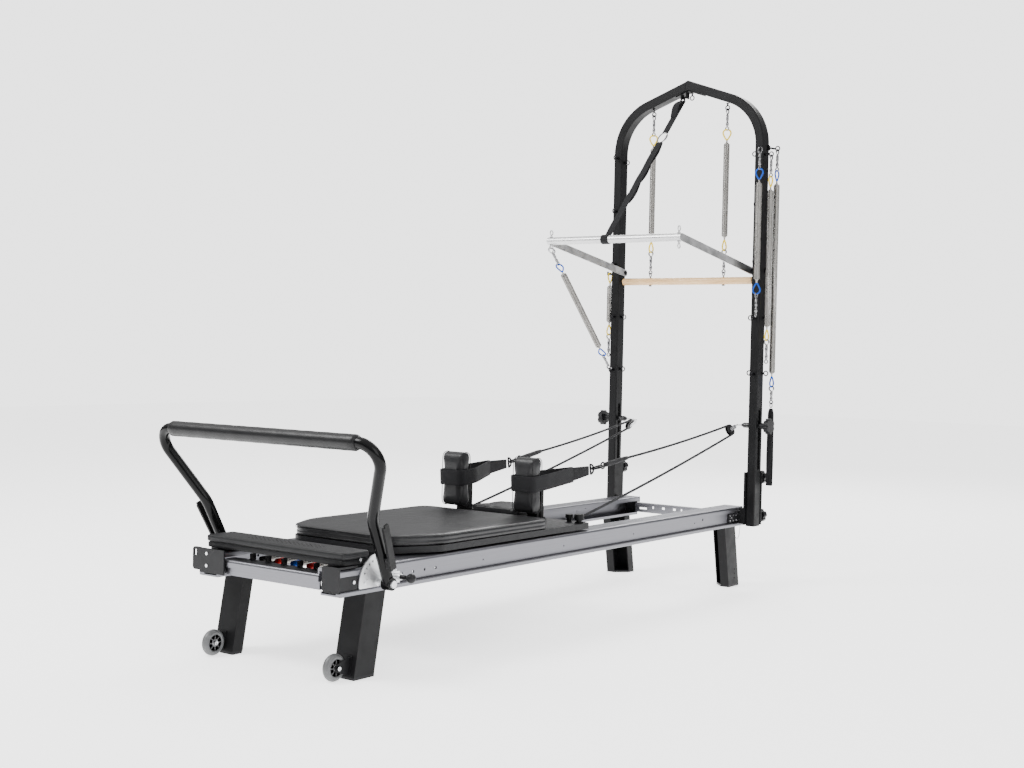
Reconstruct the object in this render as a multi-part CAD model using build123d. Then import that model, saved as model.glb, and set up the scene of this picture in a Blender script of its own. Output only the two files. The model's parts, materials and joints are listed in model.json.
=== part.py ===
from build123d import *
import os
from math import cos, pi, radians, sin, sqrt, tan

# Pilates reformer with a tower, in millimetres. +X is the right side, +Y runs from the foot end to the tower, +Z is up.
# Lengths along Y are counted from the foot-end face and moved to the shared origin, under the middle, when written.
ORIGIN_Y = 1201.4

# ---- driving dimensions -------------------------------------------------------------------------------------------
RAIL_LENGTH = 2390
RAIL_BOTTOM, RAIL_TOP = 246, 324
RAIL_LIP, RAIL_BEAD, RAIL_WEB, RAIL_INSIDE = 299, 292, 284, 206
RAIL_BOTTOM_INSIDE = 218
HOLE_Z, HOLE_PITCH, FIRST_HOLE_Y = 284, 52.25, 225
LEG_OUT, LEG_WIDTH, LEG_DEPTH, LEG_SHEET, LEG_SPLAY = 296, 82, 85, 4, 44
FRONT_LEG_Y, REAR_LEG_Y, CAP_HEIGHT = 64, 2366, 8
WHEEL_X, WHEEL_Y, WHEEL_R, WHEEL_WIDTH = 256, 24, 40, 25
PLATFORM_X, PLATFORM_Y, PLATFORM_Z = 291.5, (20, 130), (332, 370)
SPRING_XS, SPRING_Z, SPRING_ENDS = (-135, -67.5, 0, 67.5, 135), 300, (99, 335)

PIVOT_X, PIVOT_Y, PIVOT_Z = 333, 165, 272
ELBOW, CORNER = (350, 214), (486, 465)      # out from the middle, and up along the footbar's arm
ARM_LEAN = 25.5
TUBE_R, GRIP_R, GRIP_HALF = 17, 24, 390
QUADRANT_R, QUADRANT_X = 87, (293, 298)

MAT_HALF, MAT_Y, MAT_Z = 288, (300, 1045), (350.3, 386)
BOARD_HALF, BOARD_Y, BOARD_Z = 284, (304, 1275), (330, 350)
AXLE_YS, AXLE_Z, CARRIAGE_WHEEL_R = (430, 1165), 279.3, 28
REST_X, REST_SIZE, REST_Y, REST_Z = 159, (92, 60, 197), 1036, 390
STRAP_TILT = 4.3

POST_X, POST_Y = (323, 361), (2360, 2414)
POST_MID_X, POST_MID_Y = 342, 2387
POST_BOTTOM, ARCH_CORNER_Z, ARCH_R, PEAK_Z = 251, 1958.7, 209, 2079.8
ARCH_SLOPE = 19.5
WALL = 3
SLOT_Z, SLOT_WIDTH = (480, 726), 17
RISER_Z = 660
SHEAVE = Vector(245.2, 2352, 638.4)
SHACKLE = Vector(261, 2383, 657)
ROPE_R, ROPE_WRAP_R = 4, 20
ROPE_EYE = Vector(187, 1407, 523)           # where the padded loop ends
CLEAT = Vector(245, 1262, 364)

PUSH_PIVOT_Y, PUSH_PIVOT_Z = 2387, 1295
PUSH_BAR_Y, PUSH_BAR_Z, PUSH_BAR_R = 1815, 1393.5, 15.5
DOWEL_Z, DOWEL_R, DOWEL_HALF = 1256.5, 15.5, 315
ARM_X, BAR_EYE_X, BAR_EYE_REACH = (306, 311), 298, 18
ARCH_SPRING_X, COIL_R, ARCH_COIL_END_Z = 178, 13, 1398
EYE, SNAP_HOOK, SNAP_EYE = (9, 2.4), (10, 2.4), (7, 2)                # rings: radius, then the wire's radius
COIL_EYE, HANDLE_RING, BAR_RING = (17, 2), (10, 2), (14, 2.4)
SNAP_LENGTH, FREE_SNAP, HANDLE_SNAP = 72, 80, 56
COIL_END, EYE_REACH, ARCH_EYE_REACH = 42, 22, 20
BAR_RING_PLAY = 16.5                        # how far the snap can move along the bar's ring as the bar turns
BLUE_EYE = Vector(366, 2322, 1794)
YELLOW_EYE = Vector(390, 2376, 1768)
HANDLE_EYE = Vector(386, 2438, 1798)
HANDLE_BOTTOM = 412
HOOK = Vector(-378, 2376, 1290)
EYE_ZS_FRONT = (1794, 1563, 1331, 1103, 872)
KNOB_ZS = (285.7, 444.5)
DOWN = Vector(0, 0, -1)
ALONG_X, ALONG_Y = (1, 0, 0), (0, 1, 0)


# ---- helpers ------------------------------------------------------------------------------------------------------
def slab(xs, ys, zs):
    size = [b - a for a, b in (xs, ys, zs)]
    return Pos((xs[0] + xs[1]) / 2, (ys[0] + ys[1]) / 2, (zs[0] + zs[1]) / 2) * Box(*size)


def rod(a, b, r):
    a, b = Vector(*a), Vector(*b)
    return Plane(origin=a, z_dir=b - a) * Cylinder(r, (b - a).length, align=(Align.CENTER, Align.CENTER, Align.MIN))


def rod_x(x0, x1, y, z, r):
    return rod((x0, y, z), (x1, y, z), r)


def rod_y(y0, y1, x, z, r):
    return rod((x, y0, z), (x, y1, z), r)


def ring(center, normal, major, minor):
    return Plane(origin=Vector(*center), z_dir=Vector(*normal)) * Torus(major, minor)


def outline_yz(points, x0, x1):
    """A flat outline in Y and Z, given thickness along X."""
    return Pos(x0, 0, 0) * extrude(Plane.YZ * make_face(Polyline(*points, close=True)), x1 - x0)


def outline_xz(points, y0, y1):
    """A flat outline in X and Z, given thickness along Y."""
    return Pos(0, y1, 0) * extrude(Plane.XZ * make_face(Polyline(*points, close=True)), y1 - y0)


def other_side(shape):
    return mirror(shape, about=Plane.YZ)


def both(shape):
    return [shape, other_side(shape)]


def write(name, *shapes):
    solids = []
    for shape in shapes:
        for piece in shape if isinstance(shape, (list, tuple)) else [shape]:
            solids += list((Pos(0, -ORIGIN_Y, 0) * piece).solids())
    whole = Compound(children=solids) if len(solids) > 1 else solids[0]
    whole.label = name
    export_step(whole, f"parts/{name}.step")


# ---- frame --------------------------------------------------------------------------------------------------------
def rail():
    section = [(RAIL_INSIDE, RAIL_TOP), (RAIL_BEAD, RAIL_TOP), (RAIL_BEAD, 302), (RAIL_WEB, 302), (RAIL_WEB, 261),
               (RAIL_LIP, 261), (RAIL_LIP, RAIL_BOTTOM), (RAIL_BOTTOM_INSIDE, RAIL_BOTTOM), (RAIL_BOTTOM_INSIDE, 256),
               (222, 256), (222, 251), (278, 251), (278, 314), (212, 314), (212, 306), (RAIL_INSIDE, 306)]
    solid = outline_xz(section, 4, RAIL_LENGTH - 4)
    along = solid.edges().filter_by(Axis.Y)
    solid = fillet(along.filter_by_position(Axis.X, RAIL_BEAD - 1, RAIL_BEAD + 1).sort_by(Axis.Z)[-1], 9)
    lip = solid.edges().filter_by(Axis.Y).filter_by_position(Axis.X, RAIL_LIP - 0.1, RAIL_LIP + 0.1)
    solid = fillet(lip, 4)
    inner = solid.edges().filter_by(Axis.Y).filter_by_position(Axis.X, RAIL_INSIDE - 0.1, RAIL_INSIDE + 0.1)
    solid = fillet(inner.sort_by(Axis.Z)[-1], 5)
    holes = [(FIRST_HOLE_Y + HOLE_PITCH * i, HOLE_Z, 4.5) for i in range(5)]
    holes += [(668 + 448 * i, HOLE_Z, 3) for i in range(4)] + [(2075, 293, 5)]
    for y, z, r in holes:
        solid -= rod_x(270, 290, y, z, r)
    return solid


def cross_beams():
    foot = outline_yz([(8, 304), (8, 281), (14, 281), (14, 257), (50, 257), (50, 262), (20, 262), (20, 298),
                       (60, 298), (60, 304)], -204, 204)
    foot = fillet(foot.edges().filter_by(Axis.X).sort_by(Axis.Y)[:2].sort_by(Axis.Z)[-1], 9)
    head = outline_yz([(2350, 301), (2350, 262), (2378, 262), (2378, 267), (2355, 267), (2355, 296), (2378, 296),
                       (2378, 301)], -204, 204)
    head -= slab((-184, -146), (2349, 2356), (275, 283))
    for x, width in ((-120, 9), (-72, 15), (-18, 15), (20, 9), (70, 15)):
        head -= slab((x, x + width), (2349, 2356), (281, 291))
    return foot, head


def corner_fittings():
    """Corner brackets at the foot end, and at the head end the caps and side plates."""
    right = outline_xz([(234, 256), (294, 256), (294, 331), (232, 331), (226, 325), (226, 264)], -1, 4) + \
        slab((286, 294), (-1, 75), (256, 331))
    right -= slab((285.9, 300), (3.9, 76), (255, 262)) + slab((285.9, 300), (3.9, 76), (301.5, 325))
    right += slab((284.3, 291), (4, 75), (262, 301.5))
    left = slab((-294, -186), (-1, 4), (256, 331)) + slab((-291, -284.3), (4, 75), (262, 301.5))
    tab = slab((-326, -290), (-1, 3.8), (262, 332)) - slab((-319, -309), (-2, 6), (305, 324))
    tab = fillet(tab.edges().filter_by(Axis.Y).sort_by(Axis.X)[:2], 10)
    cap = slab((206, 292), (RAIL_LENGTH - 4, RAIL_LENGTH), (301, 324)) + \
        slab((218, 299), (RAIL_LENGTH - 4, RAIL_LENGTH), (246, 301))
    plate = slab((284.2, 289.5), (2280, 2385), (262.5, 300.5))
    return [right, left + tab] + both(cap) + both(plate)


def leg(end_y, toward):
    """A folded sheet channel that leans outward; toward is +1 when the machine's middle is at +Y from its flange."""
    out, width, depth, t = LEG_OUT, LEG_WIDTH, LEG_DEPTH * toward, LEG_SHEET
    inside = out - width
    lip, short = 0.45 * depth, 0.45 * width
    outline = [(inside, 0), (out, 0), (out, depth), (out - short, depth), (out - short, depth - t * toward),
               (out - t, depth - t * toward), (out - t, t * toward), (inside + t, t * toward), (inside + t, lip),
               (inside, lip)]
    face = make_face(Polyline(*outline, close=True))
    lean = Vector(0, LEG_SPLAY * toward, RAIL_BOTTOM)
    start = end_y + LEG_SPLAY * toward * CAP_HEIGHT / RAIL_BOTTOM
    share = (RAIL_BOTTOM - CAP_HEIGHT) / RAIL_BOTTOM
    body = Pos(0, start, CAP_HEIGHT) * extrude(face, lean.length * share, dir=lean)
    if toward < 0:
        for z in (34, 52, 70):
            body -= rod_x(out - 10, out + 10, end_y - 40, z, 3)
    corners = [(inside, 0), (out, 0), (out, depth), (out - short, depth), (inside, lip)]
    cap = Pos(0, start, 0) * extrude(make_face(Polyline(*corners, close=True)), CAP_HEIGHT)
    return body, cap


def wheel_fork():
    """One outer cheek and a back plate on the leg's face, with the axle through the wheel."""
    face_y = FRONT_LEG_Y + LEG_SPLAY * WHEEL_R / RAIL_BOTTOM
    lean = LEG_SPLAY / RAIL_BOTTOM

    def leg_y(z):
        return FRONT_LEG_Y + lean * z - 0.2

    cheek = [(leg_y(16), 16), (leg_y(64), 64), (face_y - 20, 62), (WHEEL_Y - 8, 50), (WHEEL_Y - 12, 40),
             (WHEEL_Y - 8, 30), (face_y - 20, 18)]
    pieces = outline_yz(cheek, WHEEL_X + 15, WHEEL_X + 18) + rod_x(WHEEL_X + 15, WHEEL_X + 18, WHEEL_Y, WHEEL_R, 13)
    plate = [(leg_y(12), 12), (leg_y(68), 68), (leg_y(68) - 3, 68), (leg_y(12) - 3, 12)]
    pieces += outline_yz(plate, WHEEL_X - 4, WHEEL_X + 24)
    axle = rod_x(WHEEL_X - 13, WHEEL_X + 20, WHEEL_Y, WHEEL_R, 4) + \
        rod_x(WHEEL_X + 18, WHEEL_X + 22, WHEEL_Y, WHEEL_R, 7) + \
        rod_x(WHEEL_X - 15, WHEEL_X - 11, WHEEL_Y, WHEEL_R, 6)
    return pieces + axle


def front_wheel():
    half = WHEEL_WIDTH / 2
    tyre = Plane.YZ * Cylinder(WHEEL_R, WHEEL_WIDTH) - Plane.YZ * Cylinder(25, WHEEL_WIDTH + 2)
    tyre = fillet(tyre.edges().filter_by(GeomType.CIRCLE).sort_by(SortBy.RADIUS)[-2:], 9)
    hub = Plane.YZ * Cylinder(25, WHEEL_WIDTH - 5) - Plane.YZ * Cylinder(4.05, WHEEL_WIDTH)
    for i in range(6):
        turn = radians(60 * i)
        hub -= rod_x(-half, half, 17 * cos(turn), 17 * sin(turn), 4.5)
    place = Pos(WHEEL_X, WHEEL_Y, WHEEL_R)
    return [place * tyre, place * hub]


def platform():
    board = slab((-PLATFORM_X, PLATFORM_X), PLATFORM_Y, PLATFORM_Z)
    board = fillet(board.edges().filter_by(Axis.Z), 14)
    board = fillet(board.faces().sort_by(Axis.Z)[-1].edges(), 5)
    feet = both(slab((215, 284), (35, 115), (RAIL_TOP, PLATFORM_Z[0])))
    return [board] + feet


def spring_bar():
    bar = slab((-205, 205), (78, 98), (268, 284)) + slab((-205, 205), (78, 82), (268, 300))
    tabs = [slab((x - 19, x - 14), (76, 97), (284, 318)) for x in SPRING_XS]
    for tab in tabs:
        bar += tab
    return bar


def screws():
    heads = []
    for z in (315, 278):
        heads.append(rod_y(-3, -1, -262, z, 5))
    for side in (1, -1):
        heads.append(rod_x(side * PLATFORM_X, side * (PLATFORM_X + 2), 88, 346, 5))
        for y in (2290, 2316, 2342):
            heads += [rod_x(side * 289.5, side * 291.5, y, z, 4) for z in (271, 292)]
        heads.append(rod_x(side * 289.5, side * 291.5, 2303, 282, 5))
    heads += [rod_x(294, 296, 60, 284, 5), rod_x(-293, -291, 60, 284, 5)]
    return heads


# ---- footbar ------------------------------------------------------------------------------------------------------
LEAN_SIN, LEAN_COS = sin(radians(ARM_LEAN)), cos(radians(ARM_LEAN))


def on_arm(x, s, t=0):
    """A point s up along the arm from its pivot, and t square to it towards the tower."""
    return Vector(x, PIVOT_Y - s * LEAN_SIN + t * LEAN_COS, PIVOT_Z + s * LEAN_COS + t * LEAN_SIN)


def footbar():
    points = [(PIVOT_X, -6), ELBOW, CORNER]
    corners = [on_arm(x, s) for x, s in points] + [on_arm(-x, s) for x, s in reversed(points)]
    path = FilletPolyline(*corners, radius=[100, 56, 56, 100])
    tube = sweep(Plane(origin=path @ 0, z_dir=path % 0) * (Circle(TUBE_R) - Circle(TUBE_R - 2.5)), path)
    grip_from = on_arm(-GRIP_HALF, CORNER[1])
    grip_to = on_arm(GRIP_HALF, CORNER[1])
    for side in (1, -1):
        end = rod_x(side * (PIVOT_X - 15), side * (PIVOT_X + 15), PIVOT_Y, PIVOT_Z, 19)
        lug = Plane(origin=on_arm(side * 354, 66), x_dir=(1, 0, 0), z_dir=on_arm(0, 1) - on_arm(0, 0)) * \
            Box(26, 14, 14)
        tube -= rod_x(side * (PIVOT_X - 35), side * (PIVOT_X - 15), PIVOT_Y, PIVOT_Z, 26)
        tube -= rod_x(side * (PIVOT_X + 15), side * (PIVOT_X + 35), PIVOT_Y, PIVOT_Z, 26)
        tube = tube + end + lug
        tube -= rod(on_arm(side * LEVER_PIN[0], LEVER_PIN[1], -20), on_arm(side * LEVER_PIN[0], LEVER_PIN[1], 20), 3.05)
        tube -= rod_x(side * 300, side * 360, PIVOT_Y, PIVOT_Z, 6.05)
    grip = rod(grip_from, grip_to, GRIP_R) - rod(grip_from - Vector(1, 0, 0), grip_to + Vector(1, 0, 0), TUBE_R)
    return tube, grip


LEVER_PIN, LEVER_SPLAY = (362, 66), 9


def lever():
    """A folded handle that straddles a lug on the arm and splays away from it."""
    frame = Plane(origin=on_arm(LEVER_PIN[0], LEVER_PIN[1]), x_dir=(1, 0, 0), z_dir=on_arm(0, 1) - on_arm(0, 0))
    back = Pos(11, 0, 62) * Box(4, 24, 146)
    flange = Pos(4, 10.5, 10) * Box(18, 3, 38) + Pos(4, -10.5, 10) * Box(18, 3, 38)
    rib = Pos(8, 10.5, 62) * Box(6, 3, 146) + Pos(8, -10.5, 62) * Box(6, 3, 146)
    body = back + flange + rib + Pos(12.5, 0, 138) * Box(7, 14, 8)
    body = Rot(0, LEVER_SPLAY, 0) * body
    pin = Rot(90, 0, 0) * Cylinder(3, 24)
    return frame * (body + pin)


def quadrants():
    """Quadrant plates with position holes, clamp blocks, pivot bolts and plunger barrels."""
    x0, x1 = QUADRANT_X
    disc = rod_x(x0, x1, PIVOT_Y, PIVOT_Z, QUADRANT_R)
    keep = outline_yz([(60, 262), (200, 262), (190, 300), (170, 345), (158, 370), (60, 370)], x0, x1)
    plate = (disc & keep) + outline_yz([(150, 262), (252, 262), (252, 296), (200, 299), (180, 320), (150, 320)], x0, x1)
    for angle in (13, 25.5, 38, 50.5, 63):
        y, z = PIVOT_Y - 72 * sin(radians(angle)), PIVOT_Z + 72 * cos(radians(angle))
        plate -= rod_x(x0 - 1, x1 + 1, y, z, 3.5)
    plate -= rod_x(x0 - 1, x1 + 1, 99, 279, 2.5)
    plate += slab((RAIL_WEB + 0.5, x0), (92, 245), (262, 301))
    plate += rod_x(x1, x1 + 3, 111, 279, 8)
    plate += rod_x(x1, PIVOT_X - 15.3, PIVOT_Y, PIVOT_Z, 10.5)
    plate += rod_x(PIVOT_X - 20, PIVOT_X + 18, PIVOT_Y, PIVOT_Z, 6)
    plate += rod_x(PIVOT_X + 15.4, PIVOT_X + 22, PIVOT_Y, PIVOT_Z, 11)
    plate += rod_x(x1, x1 + 30, FIRST_HOLE_Y, HOLE_Z, 9)
    plate -= rod_x(RAIL_WEB, x1 + 31, FIRST_HOLE_Y, HOLE_Z, 4.05)
    return plate


def plunger():
    ball = Pos(366, FIRST_HOLE_Y, HOLE_Z) * Sphere(14.5)
    return ball + rod_x(RAIL_WEB + 2, 366, FIRST_HOLE_Y, HOLE_Z, 4) + rod_x(330, 345, FIRST_HOLE_Y, HOLE_Z, 7)


# ---- carriage -----------------------------------------------------------------------------------------------------
def carriage_outline(half, y0, y1, z0, z1, corner):
    cut_x, cut_y = half - 78, y0 + 155
    points = [(cut_x, y0), (half, cut_y), (half, y1), (-half, y1), (-half, cut_y), (-cut_x, y0)]
    solid = Pos(0, 0, z0) * extrude(make_face(Polyline(*points, close=True)), z1 - z0)
    upright = solid.edges().filter_by(Axis.Z)
    solid = fillet(upright.filter_by(lambda e: e.center().Y < y0 + 200), corner)
    return fillet(solid.edges().filter_by(Axis.Z).filter_by(lambda e: e.center().Y > y1 - 1), 12)


def carriage_mat():
    solid = carriage_outline(MAT_HALF, *MAT_Y, *MAT_Z, 60)
    return fillet(solid.faces().sort_by(Axis.Z)[-1].edges(), 5)


def carriage_frame():
    parts = [slab((165, 195), (330, 1250), (302, 330)), slab((-195, -165), (330, 1250), (302, 330)),
             slab((-165, 165), (337, 343), (286, 330)), slab((-165, 165), (470, 500), (306, 330)),
             slab((-165, 165), (1105, 1135), (306, 330))]
    frame = parts[0] + parts[1] + parts[2] + parts[3] + parts[4]
    for y in AXLE_YS:
        for side in (1, -1):
            frame += slab(sorted((side * 176, side * 184)), (y - 22, y + 22), (264, 303))
            frame -= rod_x(side * 170, side * 190, y, AXLE_Z, 6.05)
    return frame


def carriage_wheels(y):
    axle = rod_x(-262, 262, y, AXLE_Z, 6)
    return [axle + rod_x(-262, -232, y, AXLE_Z, 10) + rod_x(232, 262, y, AXLE_Z, 10)] + \
        both(rod_x(236, 258, y, AXLE_Z, CARRIAGE_WHEEL_R) - rod_x(235, 259, y, AXLE_Z, 10.0))


def shoulder_posts():
    """Slotted posts behind the shoulder rests, the plates under the rests, and the rope cleats."""
    post = slab((138, 180), (1098, 1136), (350, 468))
    post -= slab((154, 164), (1115, 1137), (365, 455)) + slab((170, 181), (1110, 1120), (352, 467))
    plate = slab((128, 190), (1060, 1140), (350, 357)) - slab((100, 200), (1050, 1098), (349, 400))
    arm = slab((146, 172), (1080, 1098), (388, REST_Z - 0.2))
    small = rod((213, 1248, 350), (213, 1248, 376), 9) + rod((213, 1248, 364), (213, 1248, 376), 14)
    large = rod((259, 1242, 350), (259, 1242, 380), 10) + rod((259, 1242, 360), (259, 1242, 380), 17)
    large += rod((259, 1242, 350), (259, 1242, 354), 15)
    return [piece for shape in (post + plate + arm, small, large) for piece in both(shape)]


def shoulder_rest():
    width, depth, height = REST_SIZE
    block = slab((REST_X - width / 2, REST_X + width / 2), (REST_Y, REST_Y + depth), (REST_Z, REST_Z + height))
    block = fillet(block.edges().filter_by(Axis.X), 24)
    return fillet(block.edges().filter_by(Axis.Z).group_by(Axis.Y)[0], 9)


def headrest():
    pad = slab((-111, 111), (1068, 1270), (357, 398))
    pad = fillet(pad.edges().filter_by(Axis.Z), 25)
    board = slab((-107, 107), (1070, 1266), (350.5, 356.8))
    return [pad, board]


def padded_loop():
    """Webbing that goes round the shoulder rest and closes towards its ring."""
    outer = [(105, 1027), (213, 1027), (213, 1110), (193, 1300), (193, 1400), (181, 1400), (181, 1300), (105, 1110)]
    inner = [(111, 1032), (208, 1032), (208, 1110), (189, 1296), (185, 1296), (111, 1110)]
    band = extrude(make_face(Polyline(*outer, close=True)) - make_face(Polyline(*inner, close=True)), 56)
    tilt = Pos(0, 1066, 495) * Rot(STRAP_TILT, 0, 0) * Pos(0, -1066, -28)
    return tilt * band


def unit(v):
    return v * (1 / v.length)


ROPE_DIR = unit(SHEAVE + Vector(0, 0, ROPE_WRAP_R) - ROPE_EYE)
SLEEVE = (92, 236)                          # its near and far end, from the padded loop


def rope_end():
    """The loop's ring, a carabiner and the rope's woven sleeve."""
    def at(s):
        return ROPE_EYE + ROPE_DIR * s
    side = unit(ROPE_DIR.cross(Vector(0, 0, 1)))
    up = unit(side.cross(ROPE_DIR))
    half = Plane(origin=at(6), x_dir=up, z_dir=side) * Torus(D_RING_R, 2.5)
    half &= Plane(origin=at(6), x_dir=up, z_dir=side) * Pos(0, sign_along(up, side) * 30, 0) * Box(80, 60, 20)
    d_ring = half + rod(at(6) + up * D_RING_R, at(6) - up * D_RING_R, 2.5)
    link = Plane(origin=at(46), x_dir=ROPE_DIR, z_dir=up) * \
        extrude(SlotOverall(64, 26) - SlotOverall(53, 15), 3, both=True)
    sleeve = rod(at(SLEEVE[0]), at(SLEEVE[1]), 7.5) + ring(at(80.5), side, 11.5, 3)
    return [d_ring, link, sleeve]


D_RING_R = 18


def sign_along(x_dir, normal):
    """Whether the plane's own Y runs along the rope or against it."""
    return 1 if normal.cross(x_dir).dot(ROPE_DIR) > 0 else -1


def tangent_point(p, centre, normal, r, side):
    """Where a line from p touches a circle; side picks which of the two."""
    d = centre - p
    length = d.length
    reach = sqrt(length * length - r * r)
    along = unit(d)
    across = unit(normal.cross(along)) * side
    return p + along * (reach * reach / length) + across * (reach * r / length)


ROPE_START = ROPE_EYE + ROPE_DIR * (SLEEVE[1] + 0.4)
SHEAVE_AXIS = unit((ROPE_START - SHEAVE).cross(CLEAT - SHEAVE))
if SHEAVE_AXIS.X < 0:
    SHEAVE_AXIS = SHEAVE_AXIS * -1


BLOCK_REACH = 34
BLOCK_DIR = unit(SHACKLE - SHEAVE - SHEAVE_AXIS * (SHACKLE - SHEAVE).dot(SHEAVE_AXIS))
BLOCK_PIN = SHEAVE + BLOCK_DIR * BLOCK_REACH


def rope():
    """From the sleeve, over the sheave and back to the cleat: two straight runs and one arc."""
    high, low = (tangent_point(p, SHEAVE, SHEAVE_AXIS, ROPE_WRAP_R, s) for p, s in ((ROPE_START, 1), (CLEAT, -1)))
    if high.Z < low.Z:
        high, low = (tangent_point(p, SHEAVE, SHEAVE_AXIS, ROPE_WRAP_R, s) for p, s in ((ROPE_START, -1), (CLEAT, 1)))
    back = SHEAVE + unit(SHEAVE - (ROPE_START + CLEAT) * 0.5) * ROPE_WRAP_R
    path = Wire([Line(ROPE_START, high), ThreePointArc(high, back, low), Line(low, CLEAT)])
    tube = sweep(Plane(origin=path @ 0, z_dir=path % 0) * Circle(ROPE_R), path)
    print("rope length", round(path.length), "volume over section times length", round(
        tube.volume / (pi * ROPE_R ** 2 * path.length), 3))
    return tube


# ---- tower --------------------------------------------------------------------------------------------------------
def tower_tube():
    rise = tan(radians(ARCH_SLOPE))
    path = FilletPolyline((POST_MID_X, POST_MID_Y, POST_BOTTOM), (POST_MID_X, POST_MID_Y, ARCH_CORNER_Z),
                          (0, POST_MID_Y, ARCH_CORNER_Z + POST_MID_X * rise), radius=ARCH_R)
    width, depth = POST_X[1] - POST_X[0], POST_Y[1] - POST_Y[0]
    section = RectangleRounded(width, depth, 5) - RectangleRounded(width - 2 * WALL, depth - 2 * WALL, 2)
    tube = sweep(Plane(origin=path @ 0, x_dir=(1, 0, 0), z_dir=(0, 0, 1)) * section, path)
    tube -= slab((-60, 12), (2350, 2424), (1990, 2140))
    mid = (SLOT_Z[0] + SLOT_Z[1]) / 2
    slot = Plane(origin=(POST_MID_X, POST_MID_Y, mid), x_dir=(0, 0, 1), z_dir=(1, 0, 0)) * \
        extrude(SlotOverall(SLOT_Z[1] - SLOT_Z[0], SLOT_WIDTH), 30, both=True)
    return tube - slot


def peak_joint():
    """A wedge between the two tubes, and a strap plate that runs under both."""
    rise = tan(radians(ARCH_SLOPE))
    half = (POST_X[1] - POST_X[0]) / 2 / cos(radians(ARCH_SLOPE))
    middle = ARCH_CORNER_Z + POST_MID_X * rise
    top, under = middle + half, middle - half
    wedge = outline_xz([(-12, top - 12 * rise), (0, top), (12, top - 12 * rise), (12, under - 12 * rise), (0, under),
                        (-12, under - 12 * rise)], POST_Y[0] + 1, POST_Y[1] - 1)
    plate = outline_xz([(-62, under - 62 * rise), (0, under), (62, under - 62 * rise), (62, under - 62 * rise - 4),
                        (0, under - 5), (-62, under - 62 * rise - 4)], 2368, 2406)
    lug = slab((-36, -32), (2364, 2390), (under - 34, under - 13)) + slab((-12, -8), (2364, 2390), (under - 34, under - 5))
    pin = rod_x(-36, -8, 2374, under - 27, 3)
    return wedge + plate + lug + pin


def sockets():
    """Channels bolted to the rail ends that hold the posts, with studs for the hand knobs, and the posts' end plugs."""
    block = slab((289.7, 315), (2352, 2385.6), (263, 300)) + slab((299.2, 315), (2352, 2385.6), (256, 320))
    web = slab((315, POST_X[0] - 0.05), (2352, 2421), (252, 468))
    back = slab((315, 364), (POST_Y[1] + 0.05, 2421), (252, 468))
    whole = block + web + back
    for z in KNOB_ZS:
        whole += rod_y(2421, 2450, POST_MID_X, z, 5)
    plug = slab((POST_X[0] + 1, POST_X[1] - 1), (POST_Y[0] + 1, POST_Y[1] - 1), (POST_BOTTOM - 4, POST_BOTTOM))
    return both(whole) + both(plug)


def hand_knob(r, thick, bore, lobes):
    """A round knob with scallops round its rim, its bore along Z and open at the bottom."""
    knob = Cylinder(r, thick, align=(Align.CENTER, Align.CENTER, Align.MIN))
    for i in range(lobes):
        turn = 2 * pi * (i + 0.5) / lobes
        knob -= Pos(1.12 * r * cos(turn), 1.12 * r * sin(turn), 0) * \
            Cylinder(r * 0.28, thick, align=(Align.CENTER, Align.CENTER, Align.MIN))
    knob += Pos(0, 0, -8) * Cylinder(r * 0.42, 8, align=(Align.CENTER, Align.CENTER, Align.MIN))
    return knob - Pos(0, 0, -9) * Cylinder(bore, 9 + thick * 0.55, align=(Align.CENTER, Align.CENTER, Align.MIN))


def tower_knob(z):
    return Plane(origin=(POST_MID_X, 2438, z), z_dir=(0, 1, 0)) * hand_knob(27, 24, 5.05, 5)


def riser_knob():
    return Plane(origin=(394, POST_MID_Y, RISER_Z), z_dir=(1, 0, 0)) * \
        (hand_knob(32, 20, 8.05, 6) + Pos(0, 0, -27) * (Cylinder(13, 22, align=(Align.CENTER, Align.CENTER, Align.MIN))
         - Cylinder(8.05, 22, align=(Align.CENTER, Align.CENTER, Align.MIN))))


def pulley_riser():
    """The rod through the post's slots with its collar and hook, and the pulley block that hangs on it."""
    y, z = POST_MID_Y, RISER_Z
    axle = rod_x(300, 402, y, z, 8) + rod_x(292, POST_X[0] - 0.5, y, z, 11)
    tip = Plane(origin=(292, y, z), z_dir=(-1, 0, 0)) * Cone(11, 5, 11, align=(Align.CENTER, Align.CENTER, Align.MIN))
    bend = Vector(264, y, z)
    turn = BLOCK_PIN + BLOCK_DIR * 20
    hook = rod((283, y, z), bend, 3) + Pos(*bend) * Sphere(3) + rod(bend, turn, 3) + Pos(*turn) * Sphere(3) + \
        rod(turn, BLOCK_PIN + BLOCK_DIR * 6, 3) + ring(BLOCK_PIN, SHEAVE_AXIS, 6.5, 2)
    block = rod(BLOCK_PIN - SHEAVE_AXIS * 9.5, BLOCK_PIN + SHEAVE_AXIS * 9.5, 3) + \
        rod(SHEAVE - SHEAVE_AXIS * 11, SHEAVE + SHEAVE_AXIS * 11, 4)
    for side in (1, -1):
        middle = (SHEAVE + BLOCK_PIN) * 0.5 + SHEAVE_AXIS * (side * 8.5)
        block += Plane(origin=middle, x_dir=BLOCK_DIR, z_dir=SHEAVE_AXIS) * \
            extrude(SlotOverall(BLOCK_REACH + 16, 16), 1, both=True)
    return [axle + tip + hook, block]


def sheave():
    place = Plane(origin=SHEAVE, z_dir=SHEAVE_AXIS)
    wheel = Cylinder(23, 13) - Cylinder(4.05, 15)
    groove = Cylinder(30, 9.2) - Cylinder(15.6, 11)
    return place * (wheel - groove)


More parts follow.
